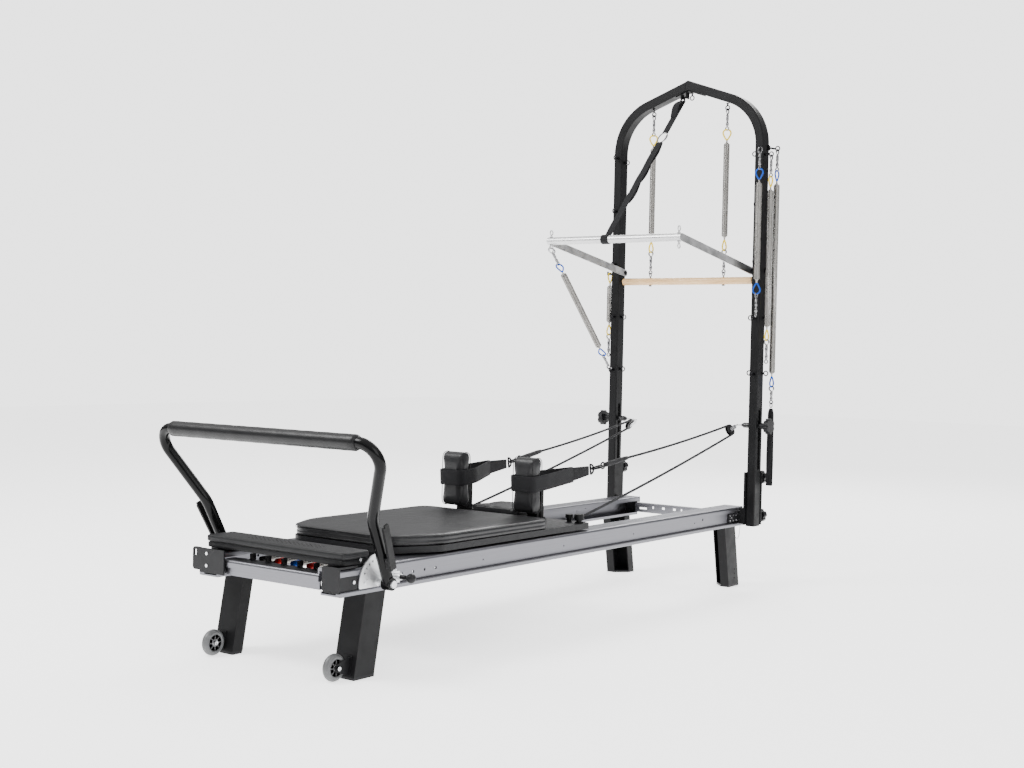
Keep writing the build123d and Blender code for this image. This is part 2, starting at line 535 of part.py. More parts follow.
def eyebolt(base, direction, normal, reach, size=EYE):
    """Shank and ring; base is on the surface and the ring's centre is reach away."""
    base, direction = Vector(*base), unit(Vector(*direction))
    centre = base + direction * reach
    return rod(base, centre - direction * (size[0] - 1), 3.5) + rod(base, base + direction * 2, 7) + \
        ring(centre, normal, *size)


def slanted_eyebolt():
    """It stands off the right post's front corner, so that its spring hangs clear of the eyebolts below."""
    base = Vector(348, POST_Y[0], BLUE_EYE.Z)
    bend = base + Vector(0, -10, 0)
    return rod(base, base + Vector(0, -4, 0), 7) + rod(base, bend, 3.5) + Pos(*bend) * Sphere(3.5) + \
        rod(bend, BLUE_EYE - unit(BLUE_EYE - bend) * 8, 3.5) + ring(BLUE_EYE, (0.9, 0.436, 0), *EYE)


def tower_eyebolts():
    bolts = []
    for side, heights in ((1, EYE_ZS_FRONT[1:]), (-1, EYE_ZS_FRONT)):
        bolts += [eyebolt((side * POST_MID_X, POST_Y[0], z), (0, -1, 0), (1, 0, 0), EYE_REACH) for z in heights]
        bolts += [eyebolt((side * POST_X[0], POST_MID_Y, z), (-side, 0, 0), (0, 1, 0), 15) for z in (1775, 1103, 876)]
        bolts += [eyebolt((side * POST_X[1], 2402, z), (side, 0, 0), (0, 1, 0), 16) for z in (1103, 876)]
        bolts.append(eyebolt((side * ARCH_SPRING_X, POST_MID_Y, arch_under(ARCH_SPRING_X) - 2.8), (0, 0, -1), (0, 1, 0),
                             ARCH_EYE_REACH))
    bolts.append(slanted_eyebolt())
    bolts.append(eyebolt((0, 2400, arch_under(0) - 7.8), (0, 0, -1), (0, 1, 0), ARCH_EYE_REACH))
    bolts.append(eyebolt((POST_X[1], YELLOW_EYE.Y, YELLOW_EYE.Z), (1, 0, 0), (0, 1, 0), YELLOW_EYE.X - POST_X[1]))
    pad = slab((POST_X[1], POST_X[1] + 5), (2396, 2412), (HANDLE_EYE.Z - 10, HANDLE_EYE.Z + 10))
    bend = Vector(POST_X[1] + 12, HANDLE_EYE.Y, HANDLE_EYE.Z)
    arm = rod((POST_X[1] + 5, 2406, HANDLE_EYE.Z), bend, 4) + Pos(*bend) * Sphere(4) + \
        rod(bend, HANDLE_EYE - Vector(8, 0, 0), 4) + ring(HANDLE_EYE, (0, 1, 0), *EYE)
    hook = rod((-POST_X[1], HOOK.Y, HOOK.Z), HOOK - Vector(12, 0, 0), 4) + \
        rod(HOOK - Vector(12, 0, 4), HOOK - Vector(12, 0, -12), 4) + rod_x(-POST_X[1] - 4, -POST_X[1], HOOK.Y, HOOK.Z, 9)
    clip = slab((361, 369), (2400, 2412), (1288, 1304)) + slab((365, 371), (2408, 2418), (1290, 1302))
    return bolts + [pad + arm, hook, clip]


def arch_under(x):
    """Height of the sloping tube's underside at x."""
    rise = tan(radians(ARCH_SLOPE))
    return ARCH_CORNER_Z + (POST_MID_X - x) * rise - (POST_X[1] - POST_X[0]) / 2 / cos(radians(ARCH_SLOPE))


# ---- bars and springs on the tower --------------------------------------------------------------------------------
def push_through_bar():
    bar = rod_x(-ARM_X[0], ARM_X[0], PUSH_BAR_Y, PUSH_BAR_Z, PUSH_BAR_R)
    run = Vector(0, PUSH_PIVOT_Y - PUSH_BAR_Y, PUSH_PIVOT_Z - PUSH_BAR_Z)
    middle = Vector(sum(ARM_X) / 2, PUSH_PIVOT_Y, PUSH_PIVOT_Z) - run * 0.5
    arm = Plane(origin=middle, x_dir=run, z_dir=(1, 0, 0)) * \
        extrude(SlotOverall(run.length + 30, 30), (ARM_X[1] - ARM_X[0]) / 2, both=True)
    arm -= rod_x(300, 315, PUSH_PIVOT_Y, PUSH_PIVOT_Z, 5.05)
    eyes = []
    for side, up in ((1, 1), (1, -1), (-1, 1), (-1, -1)):
        base = (side * BAR_EYE_X, PUSH_BAR_Y, PUSH_BAR_Z + up * PUSH_BAR_R)
        eyes.append(eyebolt(base, (0, 0, up), ALONG_X, BAR_EYE_REACH, BAR_RING if side + up == -2 else EYE))
    return [bar] + both(arm) + eyes


def push_pivots():
    """Pins in the posts that the push-through bar's arms turn on."""
    pin = rod_x(305, POST_X[0], PUSH_PIVOT_Y, PUSH_PIVOT_Z, 5) + rod_x(311.6, POST_X[0], PUSH_PIVOT_Y, PUSH_PIVOT_Z, 11) \
        + rod_x(302.5, 305.4, PUSH_PIVOT_Y, PUSH_PIVOT_Z, 9)
    return both(pin)


def hang(centre, before, after, down):
    """Where the next ring's centre lies when it hangs in the ring before it, just clear of its wire."""
    return centre + down * (before[0] - before[1] + after[0] - after[1] - 0.4)


def snap(top, down, length, normals, hook=SNAP_HOOK):
    """A swivel snap between two ring centres: the large hook ring is at the end that is named first."""
    bottom = top + down * length
    shank = rod(top + down * (hook[0] - 1), bottom - down * (SNAP_EYE[0] - 1), 3)
    barrel = rod(top + down * (length * 0.5), top + down * (length * 0.7), 5)
    return ring(top, normals[0], *hook) + shank + ring(bottom, normals[1], *SNAP_EYE) + barrel


def coil(top, down, length, normals):
    """The outer shape of a coil with a long eye at each end, between two ring centres."""
    bottom = top + down * length
    body = rod(top + down * COIL_END, bottom - down * COIL_END, COIL_R)
    for centre, sign, normal in ((top, 1, normals[0]), (bottom, -1, normals[1])):
        body += ring(centre, normal, *COIL_EYE) + \
            rod(centre + down * (sign * (COIL_EYE[0] - 1)), centre + down * (sign * COIL_END), 2.2)
    return body


def arch_springs():
    """Both springs with their snaps; they hang on the arch's eyebolts and end in an eye."""
    eye = Vector(ARCH_SPRING_X, POST_MID_Y, arch_under(ARCH_SPRING_X) - 2.8 - ARCH_EYE_REACH)
    top = hang(eye, EYE, SNAP_HOOK, DOWN)
    upper = snap(top, DOWN, SNAP_LENGTH, (ALONG_X, ALONG_Y))
    start = hang(top + DOWN * SNAP_LENGTH, SNAP_EYE, COIL_EYE, DOWN)
    body = coil(start, DOWN, start.Z - ARCH_COIL_END_Z, (ALONG_X, ALONG_X))
    return both(upper) + both(body)


def roll_down_bar():
    """The wooden bar with its eyebolts and the snaps that hold it on the springs."""
    top = hang(Vector(ARCH_SPRING_X, POST_MID_Y, ARCH_COIL_END_Z), COIL_EYE, SNAP_HOOK, DOWN)
    eye = Vector(ARCH_SPRING_X, POST_MID_Y, DOWEL_Z + DOWEL_R + 13)
    length = (top - eye).length - (SNAP_EYE[0] - SNAP_EYE[1] + 8 - 2 - 0.4)
    fitting = rod(eye - Vector(0, 0, 50), eye - Vector(0, 0, 7), 3.4) + ring(eye, ALONG_X, 8, 2) + \
        rod(eye - Vector(0, 0, 49), eye - Vector(0, 0, 13 + 2 * DOWEL_R), 6)
    dowel = rod_x(-DOWEL_HALF, DOWEL_HALF, POST_MID_Y, DOWEL_Z, DOWEL_R)
    dowel = fillet(dowel.edges().filter_by(GeomType.CIRCLE), 4)
    for x in (ARCH_SPRING_X, -ARCH_SPRING_X):
        dowel -= rod((x, POST_MID_Y, DOWEL_Z - 20), (x, POST_MID_Y, DOWEL_Z + 20), 3.5)
    return [dowel] + both(fitting) + both(snap(top, DOWN, length, (ALONG_Y, ALONG_Y)))


def hanging_spring(eye, eye_normal, eye_ring, coil_length, low_snap=FREE_SNAP, with_snap=True):
    """Snap on an eyebolt, a coil with two eyes and a snap below; returns the pieces and the last ring."""
    across = ALONG_Y if eye_normal == ALONG_X else ALONG_X
    pieces = []
    if with_snap:
        top = hang(eye, eye_ring, SNAP_HOOK, DOWN)
        pieces.append(snap(top, DOWN, SNAP_LENGTH, (across, eye_normal)))
        eye, eye_ring = top + DOWN * SNAP_LENGTH, SNAP_EYE
    start = hang(eye, eye_ring, COIL_EYE, DOWN)
    pieces.append(coil(start, DOWN, coil_length, (across, across)))
    last = hang(start + DOWN * coil_length, COIL_EYE, SNAP_HOOK, DOWN)
    pieces.append(snap(last, DOWN, low_snap, (eye_normal, eye_normal)))
    return pieces, last + DOWN * low_snap


def strap_handle(held_by):
    """A ring under the snap, a padded tab and a closed strap loop."""
    centre = hang(held_by, SNAP_EYE, HANDLE_RING, DOWN)
    x, y, z = centre
    tab = slab((x - 14, x + 14), (y - 7, y + 7), (z - 76, z - HANDLE_RING[0] - 3.6))
    tab = chamfer(tab.edges().filter_by(Axis.Y), 7)
    loop = slab((x - 12, x + 12), (y - 9, y + 9), (HANDLE_BOTTOM, z - 76)) - \
        slab((x - 13, x + 13), (y - 6, y + 6), (HANDLE_BOTTOM + 3, z - 79))
    return [tab + loop, ring(centre, ALONG_X, *HANDLE_RING)]


BAR_EYE = Vector(-BAR_EYE_X, PUSH_BAR_Y, PUSH_BAR_Z - PUSH_BAR_R - BAR_EYE_REACH)
POST_EYE = Vector(-POST_MID_X, POST_Y[0] - EYE_REACH, EYE_ZS_FRONT[-1])


def bar_spring():
    """Spring from the push-through bar to an eyebolt on the left post: the coil with the lower snap, and the upper snap."""
    down = unit(POST_EYE - BAR_EYE)
    across = tuple(unit(down.cross(Vector(1, 0, 0))))
    sideways = tuple(unit(down.cross(Vector(*across))))
    top = hang(BAR_EYE, BAR_RING, BAR_RING, down) - down * BAR_RING_PLAY
    upper = snap(top, down, SNAP_LENGTH, (across, sideways), BAR_RING)
    start = hang(top + down * SNAP_LENGTH, SNAP_EYE, COIL_EYE, down)
    last = POST_EYE - down * (EYE[0] - EYE[1] + SNAP_HOOK[0] - SNAP_HOOK[1] - 0.4)
    lower = snap(last, down * -1, SNAP_LENGTH, (across, sideways))
    end = last - down * (SNAP_LENGTH + SNAP_EYE[0] - SNAP_EYE[1] + COIL_EYE[0] - COIL_EYE[1] - 0.4)
    body = coil(start, down, (end - start).length, (across, across))
    print("bar spring", [round(v, 1) for v in (*BAR_EYE, *POST_EYE)], "coil", round((end - start).length))
    return [body, lower], upper


def safety_strap():
    """Webbing from the peak to the push-through bar, as one flat closed solid."""
    low, high = Vector(-34, PUSH_BAR_Y, PUSH_BAR_Z), Vector(-21, 2374, PEAK_UNDER - 27)
    along = unit(high - low)
    length = (high - low).length
    place = Plane(origin=low, x_dir=(1, 0, 0), z_dir=along)
    band = place * (Pos(0, 0, 20 + (length - 40) / 2) * Box(25, 5, length - 40))
    loop = rod_x(-48, -20, PUSH_BAR_Y, PUSH_BAR_Z, PUSH_BAR_R + 3.5) - \
        rod_x(-49, -19, PUSH_BAR_Y, PUSH_BAR_Z, PUSH_BAR_R + 0.3)
    return [band, loop]


PEAK_UNDER = ARCH_CORNER_Z + POST_MID_X * tan(radians(ARCH_SLOPE)) - \
    (POST_X[1] - POST_X[0]) / 2 / cos(radians(ARCH_SLOPE))


def lanyard():
    """Thin wire that hangs in a loop between the rail's end and the rear leg."""
    x = 286
    points = [(x, 2383, 245.9), (x, 2383, 224), (x, 2377, 202), (x, 2362, 189), (x, 2346, 199), (x, 2339, 222),
              (x, 2339, 245.9)]
    radii = []
    for a, b, c in zip(points, points[1:], points[2:]):
        first, second = Vector(*b) - Vector(*a), Vector(*c) - Vector(*b)
        turn = radians(first.get_angle(second))
        radii.append(0.45 * min(first.length, second.length) / tan(turn / 2))
    path = FilletPolyline(*points, radius=radii)
    print("lanyard length", round(path.length), "radii", [round(r) for r in radii])
    return sweep(Plane(origin=path @ 0, z_dir=path % 0) * Circle(1), path)


# ---- write every node ---------------------------------------------------------------------------------------------
os.makedirs("parts", exist_ok=True)

write("rail_right", rail())
write("rail_left", other_side(rail()))
foot_beam, head_beam = cross_beams()
write("foot_beam", foot_beam)
write("head_beam", head_beam)
write("corner_fittings", corner_fittings())
front_leg, front_cap = leg(FRONT_LEG_Y, 1)
rear_leg, rear_cap = leg(REAR_LEG_Y, -1)
write("front_legs", both(front_leg), both(wheel_fork()))
write("rear_legs", both(rear_leg))
write("foot_caps", both(front_cap), both(rear_cap))
write("standing_platform", platform())
write("spring_bar", spring_bar())
write("frame_screws", screws())
write("front_wheel_right", front_wheel())
write("front_wheel_left", [other_side(piece) for piece in front_wheel()])

bar_tube, bar_grip = footbar()
write("footbar_tube", bar_tube)
write("footbar_grip", bar_grip)
write("footbar_quadrants", both(quadrants()))
write("lever_right", lever())
write("lever_left", other_side(lever()))
write("plunger_right", plunger())
write("plunger_left", other_side(plunger()))

write("carriage_mat", carriage_mat())
write("carriage_board", carriage_outline(BOARD_HALF, *BOARD_Y, *BOARD_Z, 58))
write("carriage_frame", carriage_frame())
write("carriage_wheels_foot_end", carriage_wheels(AXLE_YS[0]))
write("carriage_wheels_head_end", carriage_wheels(AXLE_YS[1]))
write("shoulder_posts", shoulder_posts())
write("shoulder_rests", both(shoulder_rest()))
write("headrest", headrest())
write("padded_loops", both(padded_loop()))
write("rope_ends", [piece for shape in rope_end() for piece in both(shape)])
write("carriage_springs", [rod_y(*SPRING_ENDS, x, SPRING_Z, 11) for x in SPRING_XS])
write("pulling_ropes", both(rope()))

write("tower_tube_right", tower_tube())
write("tower_tube_left", other_side(tower_tube()))
write("tower_peak_joint", peak_joint())
write("tower_sockets", sockets())
write("tower_eyebolts", tower_eyebolts(), push_pivots())
for height, z in zip(("lower", "upper"), KNOB_ZS):
    write(f"tower_knob_{height}_right", tower_knob(z))
    write(f"tower_knob_{height}_left", other_side(tower_knob(z)))
for side, turn in (("right", lambda shape: shape), ("left", other_side)):
    write(f"pulley_riser_{side}", [turn(piece) for piece in pulley_riser()])
    write(f"riser_knob_{side}", turn(riser_knob()))
    write(f"pulley_sheave_{side}", turn(sheave()))

write("push_through_bar", push_through_bar())
write("safety_strap", safety_strap())
spring_body, spring_hook = bar_spring()
write("bar_spring", spring_body)
write("bar_spring_hook", spring_hook)
write("roll_down_springs", arch_springs())
write("roll_down_bar", roll_down_bar())
write("blue_spring", hanging_spring(BLUE_EYE, ALONG_X, EYE, 474)[0])
write("yellow_spring_right", hanging_spring(YELLOW_EYE, ALONG_Y, EYE, 636)[0])
write("yellow_spring_left", hanging_spring(HOOK, ALONG_Y, (-4, 0), 240, with_snap=False)[0])
long_spring, last_ring = hanging_spring(HANDLE_EYE, ALONG_Y, EYE, 857, HANDLE_SNAP)
write("handle_spring", long_spring)
write("strap_handle", strap_handle(last_ring))
write("lanyard_right", lanyard())
write("lanyard_left", other_side(lanyard()))
print("nodes", len(os.listdir("parts")), "sheave axis", SHEAVE_AXIS, "rope start", ROPE_START)
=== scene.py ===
"""Looks of the pilates reformer with tower: finishes, and the soft and wound pieces in detail."""
import json
from math import acos, cos, exp, pi, sin, sqrt

import bpy
from mathutils import Matrix, Vector


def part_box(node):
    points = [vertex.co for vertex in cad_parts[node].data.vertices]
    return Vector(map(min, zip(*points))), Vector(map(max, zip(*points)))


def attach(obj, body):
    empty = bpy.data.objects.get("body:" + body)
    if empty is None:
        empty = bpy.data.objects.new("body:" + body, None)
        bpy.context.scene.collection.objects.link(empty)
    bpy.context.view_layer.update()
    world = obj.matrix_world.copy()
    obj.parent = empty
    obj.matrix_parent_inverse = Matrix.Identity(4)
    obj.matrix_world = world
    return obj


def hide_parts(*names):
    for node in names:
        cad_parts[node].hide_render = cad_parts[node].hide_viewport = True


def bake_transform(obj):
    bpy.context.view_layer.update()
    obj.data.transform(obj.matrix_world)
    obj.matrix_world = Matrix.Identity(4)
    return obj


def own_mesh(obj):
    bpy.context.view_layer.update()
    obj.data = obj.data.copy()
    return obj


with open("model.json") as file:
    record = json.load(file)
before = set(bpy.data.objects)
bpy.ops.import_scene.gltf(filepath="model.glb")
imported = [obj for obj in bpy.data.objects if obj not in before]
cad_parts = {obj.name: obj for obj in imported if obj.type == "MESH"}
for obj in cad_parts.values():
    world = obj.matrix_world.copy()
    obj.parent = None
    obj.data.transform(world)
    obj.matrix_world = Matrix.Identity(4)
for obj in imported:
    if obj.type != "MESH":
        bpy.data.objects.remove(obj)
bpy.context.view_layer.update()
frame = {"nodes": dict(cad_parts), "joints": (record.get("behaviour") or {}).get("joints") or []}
nodes, joints = frame["nodes"], {j["name"]: j for j in frame["joints"]}

FINISHES = {}
FOOT_Y = -1.2014                 # the foot-end face; the part's own lengths along Y count from it
X_AXIS, Y_AXIS, Z_AXIS = Vector((1, 0, 0)), Vector((0, 1, 0)), Vector((0, 0, 1))
DOWN = -Z_AXIS
SIDES = ((1, "right"), (-1, "left"))


def place(x, y, z):
    """A point given as the part's own X, length from the foot end, and height."""
    return Vector((x, y + FOOT_Y, z))


def middle(node):
    low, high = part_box(node)
    return (low + high) / 2


# Spring chains. A ring is the radius of its centre line and the radius of its wire.
EYE, SNAP_HOOK, SNAP_EYE = (0.009, 0.0024), (0.010, 0.0024), (0.007, 0.002)
COIL_EYE, BAR_RING, DOWEL_RING = (0.017, 0.002), (0.014, 0.0024), (0.008, 0.002)
LINK_GAP = 0.0004                # between two linked rings
BAR_RING_PLAY = 0.0165           # how far the bar spring's snap sits back in the bar's ring
SNAP_LENGTH, FREE_SNAP, HANDLE_SNAP = 0.072, 0.080, 0.056       # from a snap's hook to its swivel
COIL_END, COIL_R, WIRE_R = 0.042, 0.0118, 0.0011                # coil: distance from its eye, radius, wire
ARCH_SPRING_X = 0.178            # the arch's springs, to each side
DOWEL_Z, DOWEL_R = 1.2565, 0.0155
BAR_EYE = place(-0.298, 1.815, 1.360)        # the push-through bar's ring for the bar spring
BAR_STRAP = place(-0.034, 1.815, 1.3935)     # the middle of the bar where the safety strap turns round it
BAR_STRAP_R = 0.0175             # the turn of strap round the bar

# Upholstery, loops and ropes.
REST_WIDTH = 0.092
LOOP_Z, LOOP_TILT = 0.495, 4.3 * pi / 180
LOOP_LEAN = 0.0961               # how far a loop's side leans in, for its length
SEAM_WIDTH, THREAD_R = 0.0022, 0.0006
CLOTH_FRAMES = 20                # how long the pads swell
ROPE_EYE, CLEAT = place(0.187, 1.407, 0.523), place(0.245, 1.262, 0.364)
ROPE_R, WRAP_R, RUN_STEPS, WRAP_STEPS = 0.0046, 0.020, 24, 20
SLEEVE_START, SLEEVE_END = 0.092, 0.236      # of the rope's woven sleeve, from the rope's eye
SPLIT_SHARE = 0.83               # where the rope's part that goes round the pulley begins, along its run
RISER_BLACK = (0.278, 0.281)     # where a riser turns black, from the middle plane


# ---- materials ----------------------------------------------------------------------------------------
class Finish:
    """A material with the Principled shader and a few helpers that add procedural detail."""

    def __init__(self, name, colour, roughness, metallic=0.0, coat=0.0, sheen=0.0, specular=0.5):
        self.material = bpy.data.materials.new(name)
        self.material.use_nodes = True
        self.tree = self.material.node_tree
        self.shader = self.tree.nodes["Principled BSDF"]
        self.set("Base Color", (*colour, 1))
        self.set("Roughness", roughness)
        self.set("Metallic", metallic)
        self.set("Coat Weight", coat)
        self.set("Sheen Weight", sheen)
        self.set("Specular IOR Level", specular)
        self.last_bump = None
        FINISHES[name] = self.material

    def set(self, socket, value):
        self.shader.inputs[socket].default_value = value

    def node(self, kind, **inputs):
        """A new node. An input is given by its name, with an underscore for each space."""
        made = self.tree.nodes.new(kind)
        for socket, value in inputs.items():
            made.inputs[socket.replace("_", " ")].default_value = value
        return made

    def link(self, a, b):
        self.tree.links.new(a, b)

    def coordinates(self, scale=(1, 1, 1), source="Object"):
        mapping = self.node("ShaderNodeMapping", Scale=scale)
        self.link(self.node("ShaderNodeTexCoord").outputs[source], mapping.inputs["Vector"])
        return mapping.outputs["Vector"]

    def noise(self, scale, stretch=(1, 1, 1), detail=3.0):
        texture = self.node("ShaderNodeTexNoise", Scale=scale, Detail=detail)
        self.link(self.coordinates(stretch), texture.inputs["Vector"])
        return texture.outputs[0]

    def cells(self, scale, randomness=1.0, feature="F1"):
        texture = self.node("ShaderNodeTexVoronoi", Scale=scale, Randomness=randomness)
        texture.feature = feature
        self.link(self.coordinates(), texture.inputs["Vector"])
        return texture.outputs["Distance"]

    def waves(self, scale, direction):
        """Bands along or across a strap or rope, whose UV map runs along it."""
        texture = self.node("ShaderNodeTexWave", Scale=scale, Distortion=0.4, Detail=1.0)
        texture.bands_direction = direction
        self.link(self.coordinates(source="UV"), texture.inputs["Vector"])
        return texture.outputs[1]

    def maths(self, operation, *values):
        made = self.node("ShaderNodeMath")
        made.operation = operation
        for value, socket in zip(values, made.inputs):
            self.link(value, socket)
        return made.outputs[0]

    def ramp(self, value, low, high, start, end):
        """The value's range from start to end, carried to low and high."""
        made = self.node("ShaderNodeMapRange", From_Min=start, From_Max=end, To_Min=low, To_Max=high)
        self.link(value, made.inputs["Value"])
        return made.outputs["Result"]

    def tint(self, value, dark, light, start=0.3, end=0.7):
        made = self.node("ShaderNodeValToRGB")
        for stop, position, colour in zip(made.color_ramp.elements, (start, end), (dark, light)):
            stop.position, stop.color = position, (*colour, 1)
        self.link(value, made.inputs["Fac"])
        self.link(made.outputs["Color"], self.shader.inputs["Base Color"])

    def shine(self, value, low, high):
        self.link(self.ramp(value, low, high, 0.3, 0.7), self.shader.inputs["Roughness"])

    def bump(self, value, depth, strength):
        made = self.node("ShaderNodeBump", Distance=depth, Strength=strength)
        self.link(value, made.inputs["Height"])
        if self.last_bump is not None:
            self.link(self.last_bump, made.inputs["Normal"])
        self.last_bump = made.outputs["Normal"]
        self.link(self.last_bump, self.shader.inputs["Normal"])


def scaled(colour, factor):
    return tuple(min(1.0, channel * factor) for channel in colour)


def extruded_aluminium(name, stretch):
    """Satin anodised aluminium whose die lines run along the profile."""
    base = (0.20, 0.20, 0.218)
    finish = Finish(name, base, 0.36, metallic=1.0)
    streaks = finish.noise(1.0, stretch, 4.0)
    finish.tint(streaks, scaled(base, 0.86), scaled(base, 1.1))
    finish.shine(streaks, 0.30, 0.44)
    finish.bump(streaks, 0.00012, 0.35)


def powder_coat(name, colour, roughness, depth):
    """Sprayed coat with a fine orange-peel surface and faint handling marks."""
    finish = Finish(name, colour, roughness, specular=0.14)
    finish.tint(finish.noise(9.0), scaled(colour, 0.8), scaled(colour, 1.35))
    finish.shine(finish.noise(26.0, detail=5.0), roughness - 0.07, roughness + 0.1)
    finish.bump(finish.noise(1500.0, detail=2.0), depth, 0.6)


def bare_metal(name, colour, roughness):
    finish = Finish(name, colour, roughness, metallic=1.0)
    marks = finish.noise(24.0, detail=4.0)
    finish.tint(marks, scaled(colour, 0.88), scaled(colour, 1.08))
    finish.shine(marks, roughness * 0.8, roughness * 1.25)
    finish.bump(finish.noise(90.0), 0.00003, 0.1)


def two_tone_rod():
    """The pulley risers: black rod out at the post, bare steel on the hook and block nearer the middle."""
    bare, black = (0.5, 0.5, 0.51), (0.008, 0.008, 0.009)
    finish = Finish("riser", bare, 0.28)
    split = finish.node("ShaderNodeSeparateXYZ")
    finish.link(finish.coordinates(), split.inputs["Vector"])
    away = finish.maths("ABSOLUTE", split.outputs["X"])
    finish.tint(finish.ramp(away, 0.0, 1.0, *RISER_BLACK), bare, black, 0.4, 0.6)
    finish.link(finish.ramp(away, 1.0, 0.0, *RISER_BLACK), finish.shader.inputs["Metallic"])
    finish.bump(finish.noise(700.0), 0.00005, 0.3)


def moulded_plastic(name, colour, roughness):
    finish = Finish(name, colour, roughness, specular=0.2)
    finish.tint(finish.noise(30.0), scaled(colour, 0.85), scaled(colour, 1.2))
    finish.shine(finish.noise(60.0, detail=5.0), roughness - 0.06, roughness + 0.08)
    finish.bump(finish.cells(1400.0), 0.00008, 0.5)


def upholstery_vinyl():
    """Black vinyl: leather-like grain of small cells with creases between them, and a soft sheen."""
    base = (0.011, 0.011, 0.012)
    finish = Finish("vinyl", base, 0.4, sheen=0.03, specular=0.3)
    finish.set("Sheen Roughness", 0.4)
    finish.tint(finish.noise(14.0), scaled(base, 0.8), scaled(base, 1.5))
    finish.shine(finish.noise(40.0, detail=6.0), 0.30, 0.42)
    finish.bump(finish.noise(60.0, detail=3.0), 0.0004, 0.25)
    finish.bump(finish.cells(620.0, feature="DISTANCE_TO_EDGE"), 0.0003, 0.45)


def foam_grip():
    base = (0.006, 0.006, 0.0065)
    finish = Finish("grip", base, 0.36, sheen=0.02, specular=0.26)
    finish.tint(finish.noise(20.0), scaled(base, 0.8), scaled(base, 1.6))
    finish.bump(finish.noise(420.0, detail=4.0), 0.0002, 0.6)


def stippled_rubber():
    """Platform mat: a regular field of small domes, with painted shade between them and painted light on
    their tops.
    """
    base = (0.013, 0.013, 0.014)
    finish = Finish("stipple", base, 0.46, specular=0.22)
    domes = finish.ramp(finish.cells(230.0, 0.0), 1.0, 0.0, 0.0, 0.5)
    # Painted shade and highlight: the colour follows the dome height, darker in the hollows between the domes
    # and lighter on their tops.
    finish.tint(domes, scaled(base, 0.55), scaled(base, 1.8), 0.1, 0.8)
    finish.bump(domes, 0.0006, 0.8)


def webbing(name, base):
    """Woven nylon in a basket weave, mapped along the strap, with painted shade in the gaps between the
    threads.
    """
    finish = Finish(name, base, 0.7, sheen=0.05, specular=0.1)
    weave = finish.maths("MAXIMUM", finish.waves(150.0, "X"), finish.waves(150.0, "Y"))
    # Painted shade: the colour follows the weave's height, darker in the gaps between the threads and lighter
    # on their tops.
    finish.tint(weave, scaled(base, 0.45), scaled(base, 1.6), 0.2, 0.9)
    finish.bump(weave, 0.0004, 0.8)


def braided_rope():
    base = (0.013, 0.013, 0.014)
    finish = Finish("rope", base, 0.68, sheen=0.05, specular=0.1)
    strands = finish.maths("MAXIMUM", finish.waves(130.0, "DIAGONAL"), finish.waves(95.0, "X"))
    # Painted shade: the colour follows the braid's height, darker in the grooves between the strands and
    # lighter on their crowns.
    finish.tint(strands, scaled(base, 0.4), scaled(base, 2.2), 0.2, 0.9)
    finish.bump(strands, 0.0007, 0.9)


def lacquered_maple():
    """Light maple turned along X: long grain, fine pores and a clear coat."""
    finish = Finish("maple", (0.72, 0.47, 0.24), 0.4, coat=0.15)
    grain = finish.noise(1.0, (5, 70, 70), 6.0)
    finish.tint(grain, (0.62, 0.37, 0.16), (0.82, 0.55, 0.28), 0.35, 0.66)
    finish.shine(finish.noise(1.0, (10, 300, 300)), 0.3, 0.42)
    finish.bump(finish.noise(1.0, (30, 700, 700), 2.0), 0.0001, 0.4)


def cast_urethane():
    base = (0.10, 0.102, 0.104)
    finish = Finish("urethane", base, 0.42)
    finish.set("Subsurface Weight", 0.15)
    finish.set("Subsurface Radius", (0.01, 0.01, 0.01))
    finish.set("Subsurface Scale", 0.3)
    finish.tint(finish.noise(50.0), scaled(base, 0.85), scaled(base, 1.15))
    finish.bump(finish.noise(300.0, detail=4.0), 0.0001, 0.5)


extruded_aluminium("aluminium_y", (700, 3, 700))
extruded_aluminium("aluminium_x", (3, 500, 500))
powder_coat("black_coat", (0.0055, 0.0055, 0.006), 0.42, 0.00012)
powder_coat("gloss_black", (0.003, 0.003, 0.0033), 0.15, 0.00004)
bare_metal("polished", (0.80, 0.81, 0.82), 0.42)
bare_metal("bright_aluminium", (0.62, 0.62, 0.625), 0.36)
bare_metal("bolt_steel", (0.78, 0.78, 0.80), 0.34)
bare_metal("nickel", (0.31, 0.30, 0.285), 0.27)
bare_metal("snap_steel", (0.22, 0.22, 0.225), 0.22)
bare_metal("black_steel", (0.02, 0.02, 0.022), 0.3)
two_tone_rod()
moulded_plastic("black_plastic", (0.008, 0.008, 0.009), 0.4)
moulded_plastic("hub_plastic", (0.10, 0.10, 0.104), 0.45)
moulded_plastic("thread", (0.03, 0.03, 0.032), 0.6)
moulded_plastic("yellow", (0.80, 0.58, 0.0), 0.5)
moulded_plastic("blue", (0.0, 0.06, 0.38), 0.5)
moulded_plastic("red", (0.50, 0.008, 0.008), 0.45)
upholstery_vinyl()
foam_grip()
stippled_rubber()
webbing("webbing", (0.010, 0.010, 0.011))
braided_rope()
lacquered_maple()
cast_urethane()


# ---- mesh helpers -------------------------------------------------------------------------------------
def new_object(name, verts, faces, finish, uvs=None, smooth=True):
    mesh = bpy.data.meshes.new(name)
    mesh.from_pydata([tuple(v) for v in verts], [], faces)
    mesh.update()
    if uvs is not None:
        layer = mesh.uv_layers.new(name="UVMap")
        for loop in mesh.loops:
            layer.data[loop.index].uv = uvs[loop.vertex_index]
    if smooth:
        mesh.polygons.foreach_set("use_smooth", [True] * len(mesh.polygons))
    obj = bpy.data.objects.new(name, mesh)
    bpy.context.scene.collection.objects.link(obj)
    mesh.materials.append(FINISHES[finish])
    return obj


